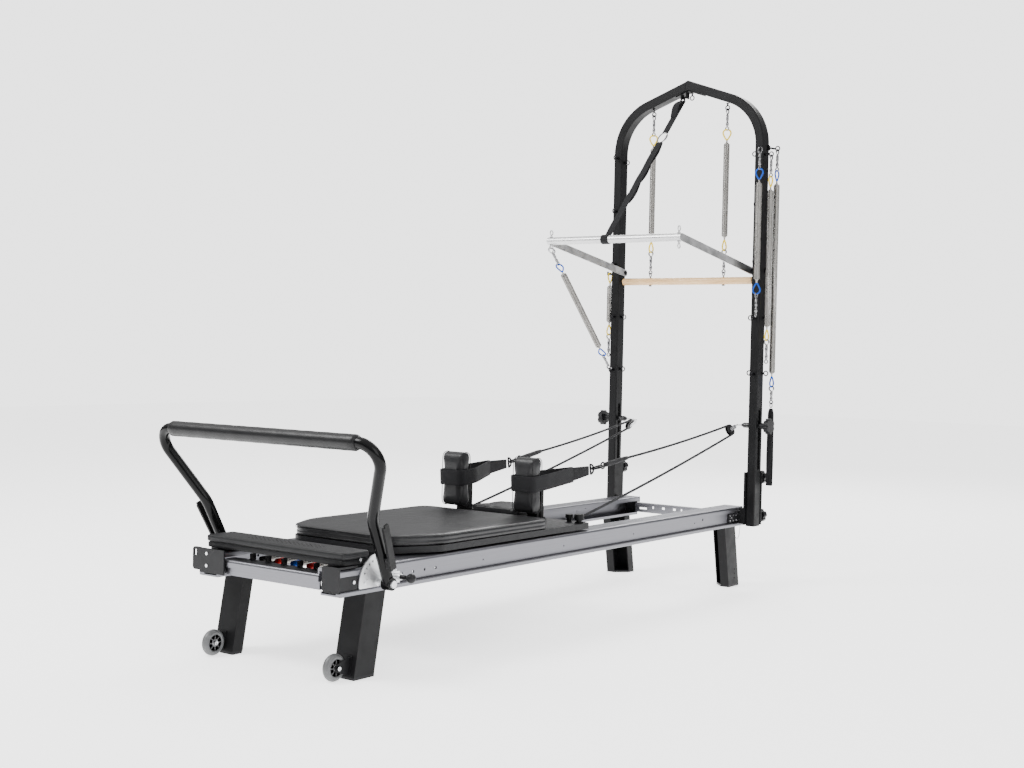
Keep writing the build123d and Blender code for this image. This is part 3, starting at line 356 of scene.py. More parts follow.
def frames_along(points, closed, up):
    """Tangent, normal and binormal at each point, carried along without twist."""
    count = len(points)
    tangents = []
    for i, point in enumerate(points):
        after = points[(i + 1) % count] if closed or i < count - 1 else point
        before = points[i - 1] if closed or i else point
        tangents.append((after - before).normalized())
    normal = up - tangents[0] * up.dot(tangents[0])
    if normal.length < 1e-6:
        normal = tangents[0].orthogonal()
    normal.normalize()
    result = []
    for tangent in tangents:
        normal = (normal - tangent * normal.dot(tangent)).normalized()
        result.append((tangent, normal, tangent.cross(normal)))
    return result


def sweep(name, points, section, finish, closed=False, up=Z_AXIS, grow=None):
    """Carries a section of offsets along the normal and binormal through the points. grow scales it."""
    points = [Vector(p) for p in points]
    around = len(section)
    girth = [0.0]
    for a, b in zip(section, section[1:]):
        girth.append(girth[-1] + sqrt((a[0] - b[0]) ** 2 + (a[1] - b[1]) ** 2))
    verts, uvs, run = [], [], 0.0
    for i, (point, (_, normal, side)) in enumerate(zip(points, frames_along(points, closed, up))):
        run += (point - points[i - 1]).length if i else 0.0
        size = grow(i / (len(points) - 1)) if grow else 1.0
        for j, (a, b) in enumerate(section):
            verts.append(point + normal * (a * size) + side * (b * size))
            uvs.append((run, girth[j]))
    faces = []
    rows = len(points) if closed else len(points) - 1
    for i in range(rows):
        k = (i + 1) % len(points)
        for j in range(around):
            n = (j + 1) % around
            faces.append((i * around + j, i * around + n, k * around + n, k * around + j))
    if not closed:
        faces.append(tuple(range(around - 1, -1, -1)))
        faces.append(tuple(len(verts) - around + j for j in range(around)))
    return new_object(name, verts, faces, finish, uvs)


def turns(count):
    """Angles that divide a full turn evenly."""
    return [2 * pi * k / count for k in range(count)]


def circle(radius, sides):
    return [(radius * cos(turn), radius * sin(turn)) for turn in turns(sides)]


def flat_section(width, thickness):
    """Rounded strap section: width across, thickness along the normal."""
    half, edge = width / 2 - thickness / 2, thickness / 2
    bend = [pi * k / 4 for k in range(5)]
    left = [(edge * cos(t), -half - edge * sin(t)) for t in bend]
    right = [(-edge * cos(t), half + edge * sin(t)) for t in bend]
    across_low = [(-edge, half * (k / 3 - 1)) for k in range(1, 6)]
    across_high = [(edge, half * (1 - k / 3)) for k in range(1, 6)]
    return left + across_low + right + across_high


def upright_section(width, thickness):
    """The same section with its width along the normal."""
    return [(b, a) for a, b in flat_section(width, thickness)]


def tube(name, points, radius, finish, sides=12, closed=False, up=Z_AXIS):
    return sweep(name, points, circle(radius, sides), finish, closed, up)


def smooth_path(corners, radius, closed=False, steps=6):
    """Corner points with each corner rounded by an arc of about this radius."""
    corners = [Vector(c) for c in corners]
    count, path = len(corners), []
    for i, corner in enumerate(corners):
        if not closed and i in (0, count - 1):
            path.append(corner)
            continue
        back, ahead = corners[i - 1] - corner, corners[(i + 1) % count] - corner
        reach = min(radius, 0.48 * back.length, 0.48 * ahead.length)
        start, end = corner + back.normalized() * reach, corner + ahead.normalized() * reach
        for k in range(steps + 1):
            t = k / steps
            path.append(start * (1 - t) ** 2 + corner * (2 * t * (1 - t)) + end * t ** 2)
    return path


def ellipse(centre, a, b, count=28):
    """Points round an ellipse whose half axes are the vectors a and b."""
    return [centre + a * cos(turn) + b * sin(turn) for turn in turns(count)]


def ring(name, centre, normal, radius, wire, finish, sides=10):
    first = normal.orthogonal().normalized()
    points = ellipse(centre, first * radius, normal.cross(first) * radius)
    return tube(name, points, wire, finish, sides, closed=True)


def turned(profile, origin, axis, sides, base=0):
    """Corners and faces of a turned profile with closed ends. The faces count their corners from base."""
    axis = axis.normalized()
    first = axis.orthogonal().normalized()
    second = axis.cross(first)
    corners = [origin + axis * height + (first * cos(turn) + second * sin(turn)) * radius
               for height, radius in profile for turn in turns(sides)]
    last = base + (len(profile) - 1) * sides
    faces = [(row + j, row + (j + 1) % sides, row + sides + (j + 1) % sides, row + sides + j)
             for row in range(base, last, sides) for j in range(sides)]
    faces.append(tuple(base + j for j in range(sides - 1, -1, -1)))
    faces.append(tuple(last + j for j in range(sides)))
    return corners, faces


def lathe(name, profile, origin, axis, finish, sides):
    """Turns a profile of (height along the axis, radius) about the axis."""
    verts, faces = turned(profile, origin, axis, sides)
    uvs, run = [], 0.0
    for i, (height, radius) in enumerate(profile):
        if i:
            run += sqrt((height - profile[i - 1][0]) ** 2 + (radius - profile[i - 1][1]) ** 2)
        uvs += [(radius * turn, run) for turn in turns(sides)]
    return new_object(name, verts, faces, finish, uvs)


def mirrored_end(end, length):
    """The far end of a lathe profile of this length, from its near end."""
    return [(length - height, radius) for height, radius in reversed(end)]


def stitches(name, path, pitch, length, closed=False):
    """A row of short rounded threads along a path, as one mesh."""
    path = [Vector(p) for p in path] + ([Vector(path[0])] if closed else [])
    spots, travelled, due = [], 0.0, pitch / 2
    for a, b in zip(path, path[1:]):
        run = (b - a).length
        while due <= travelled + run:
            spots.append((a.lerp(b, (due - travelled) / run), (b - a).normalized()))
            due += pitch
        travelled += run
    thread = [(length * shift, THREAD_R * size) for shift, size in
              ((-0.5, 0.35), (-0.32, 1.0), (0.32, 1.0), (0.5, 0.35))]
    verts, faces = [], []
    for centre, along in spots:
        corners, sides = turned(thread, centre, along, 6, len(verts))
        verts += corners
        faces += sides
    return new_object(name, verts, faces, "thread")


def join(name, pieces):
    """Makes one object of several and keeps each one's material."""
    bpy.ops.object.select_all(action="DESELECT")
    for piece in pieces:
        piece.select_set(True)
    bpy.context.view_layer.objects.active = pieces[0]
    bpy.ops.object.join()
    pieces[0].name = name
    return pieces[0]


def apply_modifiers(obj):
    graph = bpy.context.evaluated_depsgraph_get()
    mesh = bpy.data.meshes.new_from_object(obj.evaluated_get(graph))
    obj.modifiers.clear()
    obj.data = mesh
    mesh.polygons.foreach_set("use_smooth", [True] * len(mesh.polygons))


def round_edges(obj, width, angle=pi / 6):
    """Rounds the edges that are sharper than the angle."""
    bevel = obj.modifiers.new("edges", "BEVEL")
    bevel.width, bevel.segments, bevel.limit_method, bevel.angle_limit = width, 4, "ANGLE", angle
    apply_modifiers(obj)


def paint(finish, *names):
    for name in names:
        nodes[name].data.materials.clear()
        nodes[name].data.materials.append(FINISHES[finish])


def settle(piece, body, replaced=None):
    """Parents a piece to the body it rides on, and hides the CAD node that it stands for."""
    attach(piece, body)
    if replaced:
        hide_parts(replaced)


# ---- CAD parts that stay ------------------------------------------------------------------------------
paint("aluminium_y", "rail_right", "rail_left")
paint("aluminium_x", "foot_beam", "head_beam")
paint("black_coat", "front_legs", "rear_legs", "tower_tube_right", "tower_tube_left", "tower_peak_joint",
      "tower_sockets", "carriage_frame", "shoulder_posts", "spring_bar", "lever_right", "lever_left")
paint("gloss_black", "footbar_tube")
paint("bright_aluminium", "push_through_bar")
paint("polished", "footbar_quadrants")
paint("bolt_steel", "frame_screws")
paint("riser", "pulley_riser_right", "pulley_riser_left")
paint("black_steel", "tower_eyebolts")
paint("black_plastic", "corner_fittings", "foot_caps", "plunger_right", "plunger_left", "riser_knob_right",
      "riser_knob_left", "pulley_sheave_right", "pulley_sheave_left", "tower_knob_lower_right",
      "tower_knob_lower_left", "tower_knob_upper_right", "tower_knob_upper_left", "carriage_board")
paint("urethane", "carriage_wheels_foot_end", "carriage_wheels_head_end")


# ---- upholstery ---------------------------------------------------------------------------------------
def inflate(obj, voxel, pressure, cap, floor_z):
    """Remeshes the pad and swells it as cloth under pressure, up to the cap, with its underside kept flat."""
    remesh = obj.modifiers.new("remesh", "REMESH")
    remesh.mode, remesh.voxel_size = "VOXEL", voxel
    apply_modifiers(obj)
    start = [v.co.copy() for v in obj.data.vertices]
    cloth = obj.modifiers.new("cloth", "CLOTH")
    cloth.settings.use_pressure = True
    cloth.settings.uniform_pressure_force = pressure
    cloth.settings.effector_weights.gravity = 0
    for step in range(1, CLOTH_FRAMES + 1):
        bpy.context.scene.frame_set(step)
    graph = bpy.context.evaluated_depsgraph_get()
    swollen = [v.co.copy() for v in obj.evaluated_get(graph).data.vertices]
    obj.modifiers.clear()
    bpy.context.scene.frame_set(1)
    for vertex, before, after in zip(obj.data.vertices, start, swollen):
        move = after - before
        if move.length > cap:
            move = move.normalized() * cap
        vertex.co = before + move
    for vertex in obj.data.vertices:
        vertex.co.z = max(vertex.co.z, floor_z)
    obj.modifiers.new("smooth", "SUBSURF").levels = 1
    apply_modifiers(obj)


def bell(distance, reach):
    """A smooth bump that is one at no distance and fades over the reach."""
    return exp(-(distance / reach) ** 2)


def press_seam(obj, height, depth):
    """Pulls the side in along a level seam."""
    steepest = 0.6
    normals = [v.normal.copy() for v in obj.data.vertices]
    for vertex, normal in zip(obj.data.vertices, normals):
        if abs(normal.z) <= steepest:
            pull = bell(vertex.co.z - height, SEAM_WIDTH)
            vertex.co -= Vector((normal.x, normal.y, 0)) * (depth * pull)


def prism(name, outline, z0, z1, finish):
    count = len(outline)
    verts = [(x, y, z0) for x, y in outline] + [(x, y, z1) for x, y in outline]
    faces = [tuple(range(count - 1, -1, -1)), tuple(range(count, 2 * count))]
    faces += [(i, (i + 1) % count, count + (i + 1) % count, count + i) for i in range(count)]
    return new_object(name, verts, faces, finish)


def rectangle(x0, x1, y0, y1):
    return [(x0, y0), (x1, y0), (x1, y1), (x0, y1)]


def flat_outline(corners, radius):
    return [(p.x, p.y) for p in smooth_path([(x, y, 0) for x, y in corners], radius, closed=True, steps=8)]


def mat_outline(low, high, inset):
    """The mat's outline: the two corners at the foot end are cut off."""
    cut_x, cut_y = 0.078, 0.155
    half, y0, y1 = high.x - inset, low.y + inset, high.y - inset
    right = [(half - cut_x, y0), (half, y0 + cut_y), (half, y1)]
    return flat_outline(right + [(-x, y) for x, y in reversed(right)], 0.055)


def build_mat():
    low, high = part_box("carriage_mat")
    swell = 0.0025
    mat = prism("mat", mat_outline(low, high, swell), low.z, high.z - swell, "vinyl")
    inflate(mat, voxel=0.006, pressure=4.0, cap=swell, floor_z=low.z)
    press_seam(mat, height=low.z + 0.45 * (high.z - low.z), depth=0.0022)
    settle(mat, "carriage", "carriage_mat")
    welt = [(x, y, high.z - 0.0055) for x, y in mat_outline(low, high, 0.0035)]
    seam = [(x, y, high.z - 0.0105) for x, y in mat_outline(low, high, 0.0012)]
    settle(tube("mat_piping", welt, 0.0021, "vinyl", 8, closed=True), "carriage")
    settle(stitches("mat_thread", seam, pitch=0.006, length=0.0042, closed=True), "carriage")


def build_headrest():
    """The pad on its board."""
    low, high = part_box("headrest")
    pad_z = low.z + 0.0065
    board_edge = rectangle(low.x + 0.004, high.x - 0.004, low.y + 0.002, high.y - 0.002)
    pad_edge = rectangle(low.x + 0.003, high.x - 0.003, low.y + 0.003, high.y - 0.003)
    board = prism("headrest_board", flat_outline(board_edge, 0.03), low.z, low.z + 0.0063, "black_plastic")
    pad = prism("headrest_pad", flat_outline(pad_edge, 0.034), pad_z, high.z - 0.003, "vinyl")
    inflate(pad, voxel=0.005, pressure=4.0, cap=0.004, floor_z=pad_z)
    press_seam(pad, height=low.z + 0.024, depth=0.002)
    settle(pad, "headrest", "headrest")
    settle(board, "headrest")


def waist(z):
    """How far the loops draw a shoulder rest in at this height."""
    return 1 - 0.085 * bell(z - LOOP_Z, 0.034)


def build_shoulder_rests():
    """Two tall pads: rounded from front to back, piped edges, and a waist where the loops go round."""
    low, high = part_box("shoulder_rests")
    swell = 0.003
    for side, tag in SIDES:
        left, right = sorted((side * (high.x - REST_WIDTH + swell), side * (high.x - swell)))
        y0, y1, z0, z1 = low.y + swell, high.y - swell, low.z + 0.001, high.z - swell
        profile = flat_outline(rectangle(y0, y1, z0, z1), 0.026)
        count = len(profile)
        verts = [(x, y, z) for x in (left, right) for y, z in profile]
        faces = [tuple(range(count)), tuple(range(2 * count - 1, count - 1, -1))]
        faces += [(i, count + i, count + (i + 1) % count, (i + 1) % count) for i in range(count)]
        block = new_object("shoulder_rest_" + tag, verts, faces, "vinyl")
        round_edges(block, width=0.007, angle=1.0)
        inflate(block, voxel=0.005, pressure=3.0, cap=swell, floor_z=low.z)
        centre = Vector(((left + right) / 2, (y0 + y1) / 2, (z0 + z1) / 2))
        for vertex in block.data.vertices:
            pull = waist(vertex.co.z)
            vertex.co.x = centre.x + (vertex.co.x - centre.x) * pull
            vertex.co.y = centre.y + (vertex.co.y - centre.y) * pull
        settle(block, "carriage", "shoulder_rests" if side > 0 else None)
        for x, away in ((left + 0.0008, -1), (right - 0.0008, 1)):
            seam = [Vector((centre.x + (x - centre.x) * waist(z), centre.y + (y - centre.y) * waist(z) * 0.97,
                            centre.z + (z - centre.z) * 0.99)) for y, z in profile]
            piping = tube(f"rest_piping_{tag}_{away}", seam, 0.0014, "black_plastic", 8, True, up=X_AXIS)
            settle(piping, "carriage")


def build_grip():
    """Foam sleeve with rounded ends and a barely uneven surface."""
    low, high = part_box("footbar_grip")
    radius, bore, length = (high.z - low.z) / 2, 0.0172, high.x - low.x
    end = [(0, bore), (0, radius - 0.008), (0.002, radius - 0.003), (0.008, radius - 0.0004)]
    body = [(0.008 + (length - 0.016) * k / 40, radius - 0.0004 + 0.0003 * sin(k * 1.7))
            for k in range(1, 40)]
    origin = Vector((low.x, *middle("footbar_grip").yz))
    grip = lathe("grip_sleeve", end + body + mirrored_end(end, length), origin, X_AXIS, "grip", 56)
    settle(grip, "footbar", "footbar_grip")


# ---- springs, snaps and eyes --------------------------------------------------------------------------
def hang(centre, before, after, down):
    """Centre of the next ring in a hanging chain."""
    return centre + down * (before[0] - before[1] + after[0] - after[1] - LINK_GAP)


def coil_piece(name, a, b, radius=COIL_R, wire=WIRE_R, pitch=0.0024):
    """Wound wire between two points, narrower at its ends."""
    length, axis, steps = (b - a).length, (b - a).normalized(), 16
    first = axis.orthogonal().normalized()
    second = axis.cross(first)
    count = int(length / pitch) * steps
    points = []
    for k in range(count + 1):
        turn, along = 2 * pi * k / steps, length * k / count
        reach = radius * (0.7 + 0.3 * min(1.0, min(along, length - along) / 0.004))
        points.append(a + axis * along + (first * cos(turn) + second * sin(turn)) * reach)
    return tube(name, points, wire, "nickel", 6)


def stretching_coil(name, a, b, body_a, body_b, *size):
    """A coil between two points, with its mesh in world space; the two bodies are not used."""
    coil = coil_piece(name, a, b, *size)
    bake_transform(coil)
    return coil


def spring_eye(name, centre, towards, normal, finish):
    """Teardrop end loop with a coloured sleeve and a metal neck into the coil."""
    side = normal.cross(towards).normalized()
    half = [(-0.7, 0.75), (0, 1.02), (1.0, 0.55)]
    outline = [(-0.98, 0)] + half + [(1.75, 0)] + [(along, -aside) for along, aside in reversed(half)]
    drop = [centre + (towards * along + side * aside) * COIL_EYE[0] for along, aside in outline]
    neck = [(0.0, 0.0016), (0.002, 0.0034), (0.009, 0.0034), (0.012, 0.006), (0.0145, 0.0085)]
    return [tube(name + "_loop", smooth_path(drop, 0.02, closed=True, steps=5), 0.0031, finish, closed=True),
            lathe(name + "_neck", neck, centre + towards * (COIL_END - neck[-1][0]), towards, "nickel", 20)]


def snap_piece(name, hook, eye, normals, size=SNAP_HOOK):
    """Snap between two ring centres: open hook with a gate, barrel with a thumb stud, and a swivel eye."""
    along = (eye - hook).normalized()
    side = normals[0].cross(along).normalized()
    radius, wire = size
    bend = [pi * (k / 12 - 0.62) for k in range(20)]
    arc = [hook + (-along * cos(turn) + side * sin(turn)) * radius for turn in bend]
    stem = hook + along * (radius + 0.006)
    hook_path = smooth_path([stem + along * 0.004, stem - side * 0.001] + arc[::-1], 0.003, steps=3)
    gate = [arc[0] - along * 0.0005, hook + along * (radius + 0.004) - side * 0.0035]
    start, end = hook + along * (radius + 0.003), eye - along * (SNAP_EYE[0] - 0.001)
    reach = (end - start).length
    barrel = [(0, 0.003), (0.002, 0.0054), (reach * 0.45, 0.0054), (reach * 0.5, 0.0042),
              (reach * 0.62, 0.0042), (reach * 0.66, 0.006), (reach * 0.86, 0.006), (reach * 0.92, 0.0034),
              (reach, 0.0028)]
    thumb = start + along * (reach * 0.25)
    return [tube(name + "_hook", hook_path, wire * 1.25, "snap_steel", 10),
            tube(name + "_gate", gate, 0.0016, "snap_steel", 10),
            lathe(name + "_barrel", barrel, start, along, "snap_steel", 20),
            tube(name + "_stud", [thumb, thumb + side * 0.0085], 0.0013, "snap_steel", 8),
            ring(name + "_swivel", eye, normals[1], SNAP_EYE[0], 0.0025, "snap_steel")]


def linked_snap(name, hook, down, normals, size=SNAP_HOOK):
    """A snap that pulls on a ring, and the centre of the coil's eye on its swivel."""
    swivel = hook + down * SNAP_LENGTH
    return snap_piece(name, hook, swivel, normals, size), hang(swivel, SNAP_EYE, COIL_EYE, down)


def hanging_spring(node, colour, eye_normal, low_snap=FREE_SNAP, with_snap=True):
    """A spring on its eyebolt, with a free snap below. It follows the CAD chain from top to bottom."""
    low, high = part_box(node)
    x, y = middle(node).xy
    across = Y_AXIS if eye_normal == X_AXIS else X_AXIS
    if with_snap:
        top = Vector((x, y, high.z - sum(SNAP_HOOK)))
        pieces, start = linked_snap(node + "_top", top, DOWN, (across, eye_normal))
    else:
        pieces, start = [], Vector((x, y, high.z - sum(COIL_EYE)))
    swivel = Vector((x, y, low.z + sum(SNAP_EYE)))
    last = swivel - DOWN * low_snap
    end = hang(last, SNAP_HOOK, COIL_EYE, -DOWN)
    pieces += snap_piece(node + "_low", last, swivel, (eye_normal, eye_normal))
    pieces.append(coil_piece(node + "_coil", start + DOWN * COIL_END, end - DOWN * COIL_END))
    pieces += spring_eye(node + "_upper", start, DOWN, across, colour)
    pieces += spring_eye(node + "_lower", end, -DOWN, across, colour)
    settle(join(node + "_wound", pieces), node, node)


def bar_hardware(tag, eye):
    """Between a coil's lower eye and the roll-down bar: the eye, a snap, and a ring on its shank and nut."""
    fitting = Vector((eye.x, eye.y, DOWEL_Z + DOWEL_R + 0.013))
    hook, swivel = hang(eye, COIL_EYE, SNAP_HOOK, DOWN), hang(fitting, DOWEL_RING, SNAP_EYE, Z_AXIS)
    shank = [fitting + DOWN * 0.006, fitting + DOWN * 0.0475]
    nut = [(0, 0.001), (0, 0.0052), (0.0055, 0.0062), (0.007, 0.002)]
    pieces = spring_eye("bar_eye_" + tag, eye, Z_AXIS, X_AXIS, "yellow")
    pieces += snap_piece("bar_snap_" + tag, hook, swivel, (Y_AXIS, Y_AXIS))
    pieces += [ring("bar_ring_" + tag, fitting, X_AXIS, *DOWEL_RING, "snap_steel"),
               tube("bar_shank_" + tag, shank, 0.003, "snap_steel"),
               lathe("bar_nut_" + tag, nut, fitting + DOWN * 0.05, Z_AXIS, "snap_steel", 24)]
    return join("bar_hardware_" + tag, pieces)


def build_roll_down():
    """Both arch springs run between the swinging snap and the bar; the bar itself is turned maple."""
    low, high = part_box("roll_down_springs")
    pieces = []
    for side, tag in SIDES:
        top = Vector((side * ARCH_SPRING_X, middle("roll_down_springs").y, high.z - sum(SNAP_HOOK)))
        snap, start = linked_snap("arch_snap_" + tag, top, DOWN, (X_AXIS, Y_AXIS))
        end = Vector((top.x, top.y, low.z + sum(COIL_EYE)))
        pieces += snap + spring_eye("arch_eye_" + tag, start, DOWN, Vector((0.5, -0.866, 0)), "yellow")
        stretching_coil("arch_coil_" + tag, start + DOWN * COIL_END, end - DOWN * COIL_END,
                        "roll_down_springs", "roll_down_bar")
        settle(bar_hardware(tag, end), "roll_down_bar")
    settle(join("arch_snaps", pieces), "roll_down_springs", "roll_down_springs")
    bar_low, bar_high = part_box("roll_down_bar")
    end = [(0, 0.0005), (0, 0.011), (0.0012, 0.0138), (0.0045, DOWEL_R)]
    profile = end + mirrored_end(end, bar_high.x - bar_low.x)
    origin = Vector((bar_low.x, middle("roll_down_bar").y, DOWEL_Z))
    dowel = lathe("dowel", profile, origin, X_AXIS, "maple", 48)
    settle(dowel, "roll_down_bar", "roll_down_bar")


def build_bar_spring():
    """The blue-eyed spring from the push-through bar to the left post."""
    post_eye = Vector(joints["bar_spring_swing"]["pos_m"])
    down = (post_eye - BAR_EYE).normalized()
    across = down.cross(X_AXIS).normalized()
    normals = (across, down.cross(across).normalized())
    top = hang(BAR_EYE, BAR_RING, BAR_RING, down) - down * BAR_RING_PLAY
    last = hang(post_eye, EYE, SNAP_HOOK, -down)
    upper, start = linked_snap("bar_spring_top", top, down, normals, BAR_RING)
    lower, end = linked_snap("bar_spring_low", last, -down, normals)
    upper += spring_eye("bar_spring_upper_eye", start, down, across, "blue")
    lower += spring_eye("bar_spring_lower_eye", end, -down, across, "blue")
    stretching_coil("bar_spring_coil", start + down * COIL_END, end - down * COIL_END,
                    "bar_spring_upper", "bar_spring_lower")
    settle(join("bar_spring_high_end", upper), "bar_spring_upper", "bar_spring_hook")
    settle(join("bar_spring_low_end", lower), "bar_spring_lower", "bar_spring")


def build_platform():
    """Standing platform: a tray, a groove, and a rubber top with rounded edges and rows of grip pips."""
    low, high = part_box("standing_platform")
    board_z = high.z - 0.038
    layers = []
    for name, inset, z0, z1, edge, finish in (
            ("tray", 0.002, board_z, board_z + 0.016, 0.003, "black_coat"),
            ("groove", 0.005, board_z + 0.012, board_z + 0.022, 0.0, "black_coat"),
            ("rubber_top", 0.0, board_z + 0.0175, high.z - 0.0006, 0.006, "stipple")):
        corners = rectangle(inset - high.x, high.x - inset, low.y + inset, high.y - inset)
        layer = prism("platform_" + name, flat_outline(corners, 0.014), z0, z1, finish)
        if edge:
            round_edges(layer, edge)
        layers.append(layer)
    for side in (1, -1):
        x0, x1 = sorted((side * 0.215, side * 0.284))
        foot = rectangle(x0, x1, low.y + 0.015, low.y + 0.095)
        layers.append(prism(f"platform_foot_{side}", foot, low.z, board_z, "black_coat"))
    pip = [(0, 0.0034), (0.0007, 0.003), (0.0012, 0.0018), (0.0013, 0.0002)]
    pitch_x, pitch_y, centre_y = 0.018, 0.014, middle("standing_platform").y
    for row in range(3):
        for k in range(17):
            spot = Vector((pitch_x * (k - 8), centre_y + pitch_y * (row - 1), high.z - 0.0009))
            layers.append(lathe(f"pip_{row}_{k}", pip, spot, Z_AXIS, "stipple", 14))
    settle(join("platform", layers), "root", "standing_platform")


def build_carriage_springs():
    """Five springs under the carriage, hooked on the spring bar by coloured tabs."""
    low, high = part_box("carriage_springs")
    z = (low.z + high.z) / 2
    cap = [(-0.013, 0.004), (-0.012, 0.0085), (0.02, 0.0105), (0.022, 0.0085)]
    colours = ("black_plastic", "red", "blue", "red", "black_plastic")
    for i, colour in enumerate(colours):
        x = low.x + 0.011 + (high.x - low.x - 0.022) * i / (len(colours) - 1)
        a, b = Vector((x, low.y + 0.03, z)), Vector((x, high.y - 0.012, z))
        spring = stretching_coil(f"carriage_spring_{i}", a, b, "root", "carriage", 0.0095, 0.0012, 0.0034)
        cover = lathe(f"spring_cover_{i}", cap, Vector((x, low.y + 0.016, z)), Y_AXIS, colour, 28)
        hook_centre = Vector((x, high.y - 0.006, z))
        hook = ring(f"spring_hook_{i}", hook_centre, X_AXIS, 0.006, 0.0014, "snap_steel", 8)
        settle(cover, "root")
        settle(hook, "carriage")
        if i == 0:
            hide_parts("carriage_springs")


# ---- ropes, loops and straps --------------------------------------------------------------------------
def tangent_points(point, centre, normal, radius):
    """Where the two lines from the point touch a circle."""
    away = centre - point
    reach = away.length_squared - radius ** 2
    along = away.normalized()
    across = normal.cross(along).normalized() * (sqrt(reach) * radius / away.length)
    touch = point + along * (reach / away.length)
    return [touch + across, touch - across]


def mirrored(points, side):
    return [Vector((p.x * side, p.y, p.z)) for p in points]


def sag(a, b, drop):
    """A run that hangs slightly between its ends."""
    shares = [k / RUN_STEPS for k in range(RUN_STEPS + 1)]
    return [a.lerp(b, share) - Z_AXIS * (drop * 4 * share * (1 - share)) for share in shares]


def build_ropes():
    """Each rope runs from its eye round the pulley and back to a cleat."""
    pulley = joints["pulley_sheave_right_spin"]
    centre, normal = Vector(pulley["pos_m"]), Vector(pulley["axis"])
    along = (centre + Z_AXIS * WRAP_R - ROPE_EYE).normalized()
    start = ROPE_EYE + along * SLEEVE_END
    high = max(tangent_points(start, centre, normal, WRAP_R), key=lambda p: p.z)
    low = min(tangent_points(CLEAT, centre, normal, WRAP_R), key=lambda p: p.z)
    first = (high - centre).normalized()
    second = normal.cross(first).normalized()
    if second.y < 0:
        second = -second
    angle = acos(first.dot((low - centre).normalized())) / WRAP_STEPS
    wrap = [centre + (first * cos(angle * k) + second * sin(angle * k)) * WRAP_R
            for k in range(1, WRAP_STEPS)]
    upper, lower = sag(start, high, 0.006), sag(low, CLEAT, 0.008)
    cut = int(len(upper) * SPLIT_SHARE)
    back = RUN_STEPS - cut
    runs = {"upper": upper[:cut + 1], "bight": upper[cut:] + wrap + lower[:back + 1], "lower": lower[back:]}
    for side, tag in SIDES:
        pieces = {key: tube(f"rope_{key}_{tag}", mirrored(points, side), ROPE_R, "rope", 10)
                  for key, points in runs.items()}
        for key, ends in (("upper", [upper[0], upper[cut]]), ("lower", [lower[-1], lower[back]])):
            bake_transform(pieces[key])
        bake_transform(pieces["bight"])
        if side > 0:
            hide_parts("pulling_ropes")
        build_rope_end(side, tag, along)


def build_rope_end(side, tag, along):
    """D-ring, carabiner with its gate, thimble and the rope's woven sleeve."""
    def at(run):
        return mirrored([ROPE_EYE + along * run], side)[0]

    direction = (at(1) - at(0)).normalized()
    across = direction.cross(Z_AXIS).normalized()
    up = across.cross(direction).normalized()
    half = [at(0.006) + (direction * sin(t) + up * cos(t)) * 0.018 for t in [pi * k / 16 for k in range(17)]]
    d_path = smooth_path(half + [half[0] + direction * 0.0001], 0.002, closed=True, steps=2)
    oval, straight, bend = [], 0.0195, 0.0098
    for k in range(28):
        turn = 2 * pi * (k + 0.5) / 28 - pi
        shift = straight if abs(turn) < pi / 2 else -straight
        oval.append(at(0.046) + direction * (shift + bend * cos(turn)) + across * (bend * sin(turn)))
    gate = [(0, 0.004), (0.001, 0.0056), (0.016, 0.0056), (0.017, 0.0042)]
    length = SLEEVE_END - SLEEVE_START
    sleeve = [(0, 0.005), (0.001, 0.0082), (0.01, 0.009), (0.06, 0.009), (0.12, 0.0084),
              (length - 0.002, 0.0068), (length, 0.0045)]
    pieces = [tube("d_ring_" + tag, d_path, 0.0034, "black_steel", 10, True, up=across),
              tube("carabiner_" + tag, oval, 0.0042, "black_steel", 10, True, up=up),
              lathe("carabiner_gate_" + tag, gate, at(0.037) + across * bend, direction, "black_steel", 20),
              ring("thimble_" + tag, at(0.0805), across, 0.0115, 0.003, "rope"),
              lathe("rope_sleeve_" + tag, sleeve, at(SLEEVE_START), direction, "rope", 28)]
    settle(join("rope_end_" + tag, pieces), "carriage", "rope_ends" if side > 0 else None)


def build_padded_loops():
    """Padded webbing round each shoulder rest; its two sides meet in a sewn tail that holds the D-ring."""
    pivot = place(0, 1.066, LOOP_Z)
    turn = Matrix.Translation(pivot) @ Matrix.Rotation(LOOP_TILT, 4, "X") @ Matrix.Translation(-pivot)
    up = turn.to_3x3() @ Z_AXIS
    for side, tag in SIDES:
        def at(x, y, z=LOOP_Z):
            return turn @ place(side * x, y, z)

        corners = [at(0.1085, 1.030), at(0.2105, 1.030), at(0.2105, 1.115), at(0.1925, 1.296),
                   at(0.1845, 1.296), at(0.1085, 1.115)]
        pieces = [sweep("loop_band_" + tag, smooth_path(corners, 0.022, closed=True, steps=7),
                        upright_section(0.055, 0.0046), "webbing", closed=True, up=up),
                  sweep("loop_tail_" + tag, [at(0.188, 1.283 + 0.1165 * k / 12) for k in range(13)],
                        upright_section(0.052, 0.010), "webbing", up=up, grow=lambda t: 1.0 - 0.34 * t)]
        patch = [at(0.2085 - LOOP_LEAN * (y - 1.135), y) for y in (1.135, 1.16, 1.19, 1.22)]
        pieces.append(sweep("loop_patch_" + tag, patch, upright_section(0.034, 0.0022), "grip", up=up))
        for z in (0.472, 0.518):
            edge = [at(0.1928 - LOOP_LEAN * (y - 1.317), y, z) for y in (1.118, 1.2, 1.29)]
            pieces.append(stitches(f"loop_thread_{tag}_{z}", edge, pitch=0.0055, length=0.004))
        for y in (1.300, 1.306, 1.340):
            row = [at(0.1936, y, 0.476), at(0.1936, y, 0.514)]
            pieces.append(stitches(f"tail_thread_{tag}_{y}", row, pitch=0.005, length=0.0036))
        whole = join("padded_loop_" + tag, pieces)
        settle(whole, "carriage", "padded_loops" if side > 0 else None)


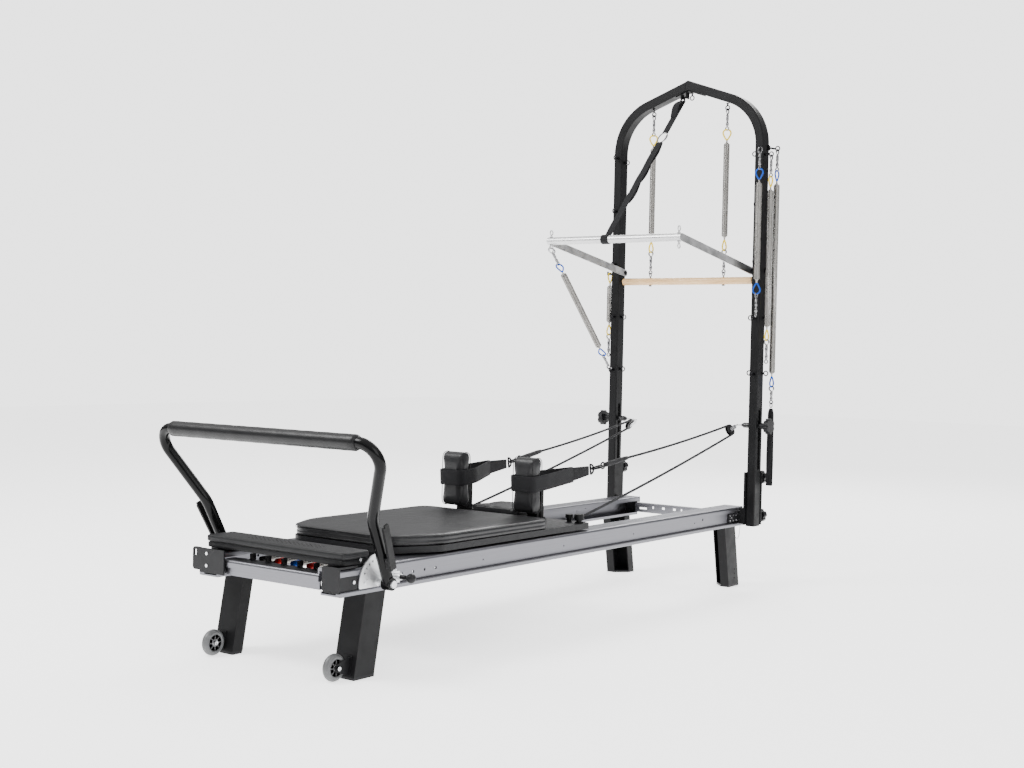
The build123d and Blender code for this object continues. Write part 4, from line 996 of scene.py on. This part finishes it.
def build_safety_strap():
    """Webbing from the arch's peak to the push-through bar, with carabiner, oval ring, buckle and loop."""
    anchor = Vector(joints["safety_strap_swing"]["pos_m"])
    anchor.x = -0.021
    down = (BAR_STRAP - anchor).normalized()
    flat = X_AXIS.cross(down).normalized()

    def at(share, off=0.0):
        return anchor.lerp(BAR_STRAP, share) + flat * off

    pieces = []
    for name, points in (
            ("main", [at(0.335 + 0.65 * k / 30, -0.0015 + 0.001 * sin(k * 0.9)) for k in range(31)]),
            ("doubled", [at(0.335 + 0.42 * k / 36, 0.0025 + 0.0085 * abs(sin(k * pi / 12)))
                         for k in range(37)]),
            ("upper", [at(0.03 + 0.235 * k / 12, 0.0012) for k in range(13)]),
            ("loop", [at(0.03 + 0.12 * k / 18, -0.0016 - 0.020 * sin(pi * k / 18)) for k in range(19)])):
        pieces.append(sweep("strap_" + name, points, flat_section(0.030, 0.0024), "webbing", up=flat))
    seam = [at(0.345 + 0.06 * k, -0.0031) + X_AXIS * 0.012 for k in range(10)]
    oval = ellipse(at(0.298), X_AXIS * 0.019, down * 0.031)
    gate = [at(share) + X_AXIS * 0.018 for share in (0.285, 0.311)]
    carabiner = ellipse(at(0.043), flat * 0.011, down * 0.034, 32)
    buckle = [at(0.70, 0.002) + X_AXIS * x + down * y for x, y in rectangle(-0.0165, 0.0165, -0.013, 0.013)]
    frame_path = smooth_path(buckle, 0.005, closed=True)
    bridge = [buckle[0].lerp(buckle[3], 0.5), buckle[1].lerp(buckle[2], 0.5)]
    pieces += [stitches("strap_thread", seam, pitch=0.006, length=0.0042),
               tube("strap_ring", oval, 0.0026, "snap_steel", 8, True, up=flat),
               tube("strap_ring_gate", gate, 0.0038, "snap_steel", 10),
               tube("strap_carabiner", carabiner, 0.0036, "black_steel", 10, True, up=X_AXIS),
               tube("strap_buckle", frame_path, 0.0023, "black_plastic", 8, True),
               tube("strap_buckle_bar", bridge, 0.0022, "black_plastic", 8)]
    whole = join("safety_webbing", pieces)
    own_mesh(whole)
    settle(whole, "safety_strap", "safety_strap")
    wrap = ellipse(BAR_STRAP, Y_AXIS * BAR_STRAP_R, Z_AXIS * BAR_STRAP_R, 36)
    turn = sweep("strap_turn", wrap, flat_section(0.032, 0.0030), "webbing", closed=True, up=Y_AXIS)
    settle(turn, "push_bar")


def build_strap_handle():
    """Padded tab with a ring, and a soft closed loop below it."""
    low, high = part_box("strap_handle")
    x, y = middle("strap_handle").xy
    ring_z = high.z - 0.012
    tab_top, tab_low = ring_z - 0.0136, ring_z - 0.076

    bend_z, half_gap = low.z + 0.008, 0.007

    def fall(offset, ripple, rate):
        shares = [k / 20 for k in range(21)]
        return [Vector((x, y + offset + ripple * sin(rate * share), tab_low - (tab_low - bend_z) * share))
                for share in shares]

    bend = [Vector((x, y - half_gap * cos(turn), bend_z - 0.0062 * sin(turn)))
            for turn in [pi * k / 8 for k in range(1, 8)]]
    loop = fall(-half_gap, 0.001, 9) + bend + fall(half_gap, -0.001, 7)[::-1]
    tab = [Vector((x, y, tab_top - (tab_top - tab_low + 0.004) * k / 10)) for k in range(11)]
    pieces = [sweep("handle_loop", loop, flat_section(0.024, 0.003), "webbing", up=-Y_AXIS),
              sweep("handle_tab", tab, flat_section(0.027, 0.014), "webbing", up=Y_AXIS,
                    grow=lambda t: 0.62 + 0.38 * min(1.0, t * 3.0))]
    for dx in (-0.009, 0.009):
        row = [Vector((x + dx, y - 0.0072, z)) for z in (tab_top - 0.008, tab_low + 0.004)]
        pieces.append(stitches(f"handle_thread_{dx}", row, pitch=0.005, length=0.0036))
    pieces.append(ring("handle_ring", Vector((x, y, ring_z)), X_AXIS, 0.010, 0.002, "snap_steel"))
    whole = join("handle_strap", pieces)
    settle(whole, "strap_handle", "strap_handle")


def build_lanyards():
    """Thin wires that hang in a loop under the rails' head ends."""
    route = [(2.383, 0.2459), (2.383, 0.224), (2.377, 0.202), (2.362, 0.189), (2.346, 0.199), (2.339, 0.222),
             (2.339, 0.2459)]
    for side, tag in SIDES:
        curve = bpy.data.curves.new("lanyard_wire_" + tag, "CURVE")
        curve.dimensions, curve.bevel_depth, curve.bevel_resolution = "3D", 0.001, 3
        spline = curve.splines.new("NURBS")
        spline.points.add(len(route) - 1)
        path = [place(side * 0.286, y, z) for y, z in route]
        for point, spot in zip(spline.points, path):
            point.co = (*spot, 1)
        spline.order_u, spline.use_endpoint_u = 3, True
        spline.resolution_u = 12
        wire = bpy.data.objects.new("lanyard_wire_" + tag, curve)
        bpy.context.scene.collection.objects.link(wire)
        curve.materials.append(FINISHES["snap_steel"])
        settle(wire, "root", "lanyard_" + tag)


# ---- wheels -------------------------------------------------------------------------------------------
def both_faces(half):
    """A wheel's profile from its far face to its near one, given the half up to the middle."""
    return half + [(-across, radius) for across, radius in reversed(half)]


def build_front_wheels():
    """Skate wheels: cast tyre with a rounded tread, spoked core, bearing with its shield."""
    shield = [(0, 0.0045), (0.001, 0.0048), (0.0012, 0.0078), (0.0004, 0.0082), (0.0012, 0.0088),
              (0.0016, 0.0104), (-0.002, 0.0105)]
    head = [(0, 0.0002), (0, 0.0064), (0.0018, 0.0064), (0.0026, 0.0054), (0.0026, 0.0036), (0.0012, 0.0034),
            (0.0012, 0.0002)]
    core = both_faces([(-0.0098, 0.0245), (-0.0098, 0.022), (-0.006, 0.0215), (-0.006, 0.0125),
                       (-0.0102, 0.012), (-0.0102, 0.0105)])
    for tag in ("right", "left"):
        node = "front_wheel_" + tag
        low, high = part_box(node)
        centre, half, radius = middle(node), (high.x - low.x) / 2, (high.z - low.z) / 2
        tread = both_faces([(-half, 0.025), (-half, 0.031), (-half * 0.85, 0.0355), (-half * 0.55, 0.0385),
                            (-half * 0.25, radius)])
        tread += [(half * 0.8, 0.0245), (-half * 0.8, 0.0245)]
        parts = [lathe("tyre_" + tag, tread, centre, X_AXIS, "urethane", 64),
                 lathe("hub_" + tag, core, centre, X_AXIS, "hub_plastic", 48)]
        for face in (1, -1):
            outer = centre + X_AXIS * (face * 0.0095)
            parts.append(lathe(f"bearing_{tag}_{face}", shield, outer, X_AXIS * face, "snap_steel", 36))
            for k, turn in enumerate(turns(8)):
                out = Vector((0, cos(turn), sin(turn)))
                rib = [centre + X_AXIS * (face * 0.0085) + out * reach for reach in (0.011, 0.0168, 0.0228)]
                parts.append(tube(f"rib_{tag}_{face}_{k}", rib, 0.0021, "hub_plastic", 8))
        settle(join("skate_wheel_" + tag, parts), node, node)
        outward = -1 if centre.x < 0 else 1
        for face, start in ((outward, 0.022), (-outward, 0.015)):
            cap = lathe(f"axle_cap_{tag}_{face}", head, centre + X_AXIS * (face * start), X_AXIS * face,
                        "bolt_steel", 28)
            settle(cap, "root")


build_mat()
build_headrest()
build_shoulder_rests()
build_grip()
hanging_spring("blue_spring", "blue", X_AXIS)
hanging_spring("yellow_spring_right", "yellow", Y_AXIS)
hanging_spring("yellow_spring_left", "yellow", Y_AXIS, with_snap=False)
hanging_spring("handle_spring", "blue", Y_AXIS, HANDLE_SNAP)
build_roll_down()
build_bar_spring()
build_platform()
build_carriage_springs()
build_ropes()
build_padded_loops()
build_safety_strap()
build_strap_handle()
build_lanyards()
build_front_wheels()


# ---- floor, light and camera --------------------------------------------------------------------------
def build_floor():
    finish = Finish("floor", (0.90, 0.90, 0.90), 0.7, specular=0.1)
    finish.set("Emission Color", (1, 1, 1, 1))
    finish.set("Emission Strength", 1.7)
    corners = [(x, y, 0) for x, y in rectangle(-14, 14, -12, 16)]
    new_object("floor", corners, [(0, 1, 2, 3)], "floor", smooth=False)


def area_light(name, position, target, size, power):
    light = bpy.data.lights.new(name, "AREA")
    light.shape, light.size, light.energy = "SQUARE", size, power
    obj = bpy.data.objects.new(name, light)
    obj.location = position
    obj.rotation_euler = (Vector(target) - Vector(position)).to_track_quat("-Z", "Y").to_euler()
    bpy.context.scene.collection.objects.link(obj)


def build_camera():
    """The viewing angle: yaw, pitch and roll about the lens, given as the camera's own axes."""
    right, up, back = (0.7973, 0.6032, 0.0211), (-0.0329, 0.0085, 0.9994), (0.6026, -0.7976, 0.0267)
    camera = bpy.data.cameras.new("camera")
    camera.lens, camera.sensor_width = 50.67, 36
    camera.clip_end = 60
    obj = bpy.data.objects.new("camera", camera)
    turn = Matrix((right, up, back)).transposed().to_4x4()
    obj.matrix_world = Matrix.Translation(place(3.1097, -2.9388, 0.9679)) @ turn
    bpy.context.scene.collection.objects.link(obj)
    bpy.context.scene.camera = obj


def build_world():
    """Studio light, bright overhead and darker at the horizon, with one plain tone behind the object."""
    world = bpy.data.worlds.new("studio")
    bpy.context.scene.world = world
    world.use_nodes = True
    tree = world.node_tree
    tree.nodes.clear()
    kinds = ("TexCoord", "SeparateXYZ", "ValToRGB", "Background", "Background", "LightPath", "MixShader",
             "OutputWorld")
    source, split, ramp, lit, plain, rays, mix, out = [tree.nodes.new("ShaderNode" + kind) for kind in kinds]
    horizon, low_sky = ramp.color_ramp.elements
    horizon.position, horizon.color = 0.0, (0.16, 0.16, 0.165, 1)
    low_sky.position, low_sky.color = 0.35, (0.30, 0.30, 0.30, 1)
    ramp.color_ramp.elements.new(0.75).color = (1.0, 1.0, 1.0, 1)
    lit.inputs["Strength"].default_value = 1.5
    plain.inputs["Color"].default_value = (1, 1, 1, 1)
    plain.inputs["Strength"].default_value = 2.85
    for start, end in ((source.outputs["Generated"], split.inputs["Vector"]),
                       (split.outputs["Z"], ramp.inputs["Fac"]),
                       (ramp.outputs["Color"], lit.inputs["Color"]),
                       (rays.outputs["Is Camera Ray"], mix.inputs["Fac"]),
                       (lit.outputs["Background"], mix.inputs[1]),
                       (plain.outputs["Background"], mix.inputs[2]),
                       (mix.outputs["Shader"], out.inputs["Surface"])):
        tree.links.new(start, end)


build_floor()
build_world()
area_light("key", (-2.4, -3.2, 4.4), target=(0, 0, 0.5), size=2.2, power=260)
area_light("fill", (4.8, -2.2, 3.0), target=(0, 0.3, 0.7), size=3.2, power=130)
area_light("back", (-1.5, 4.6, 3.8), target=(0, 0.6, 0.8), size=2.6, power=190)
build_camera()
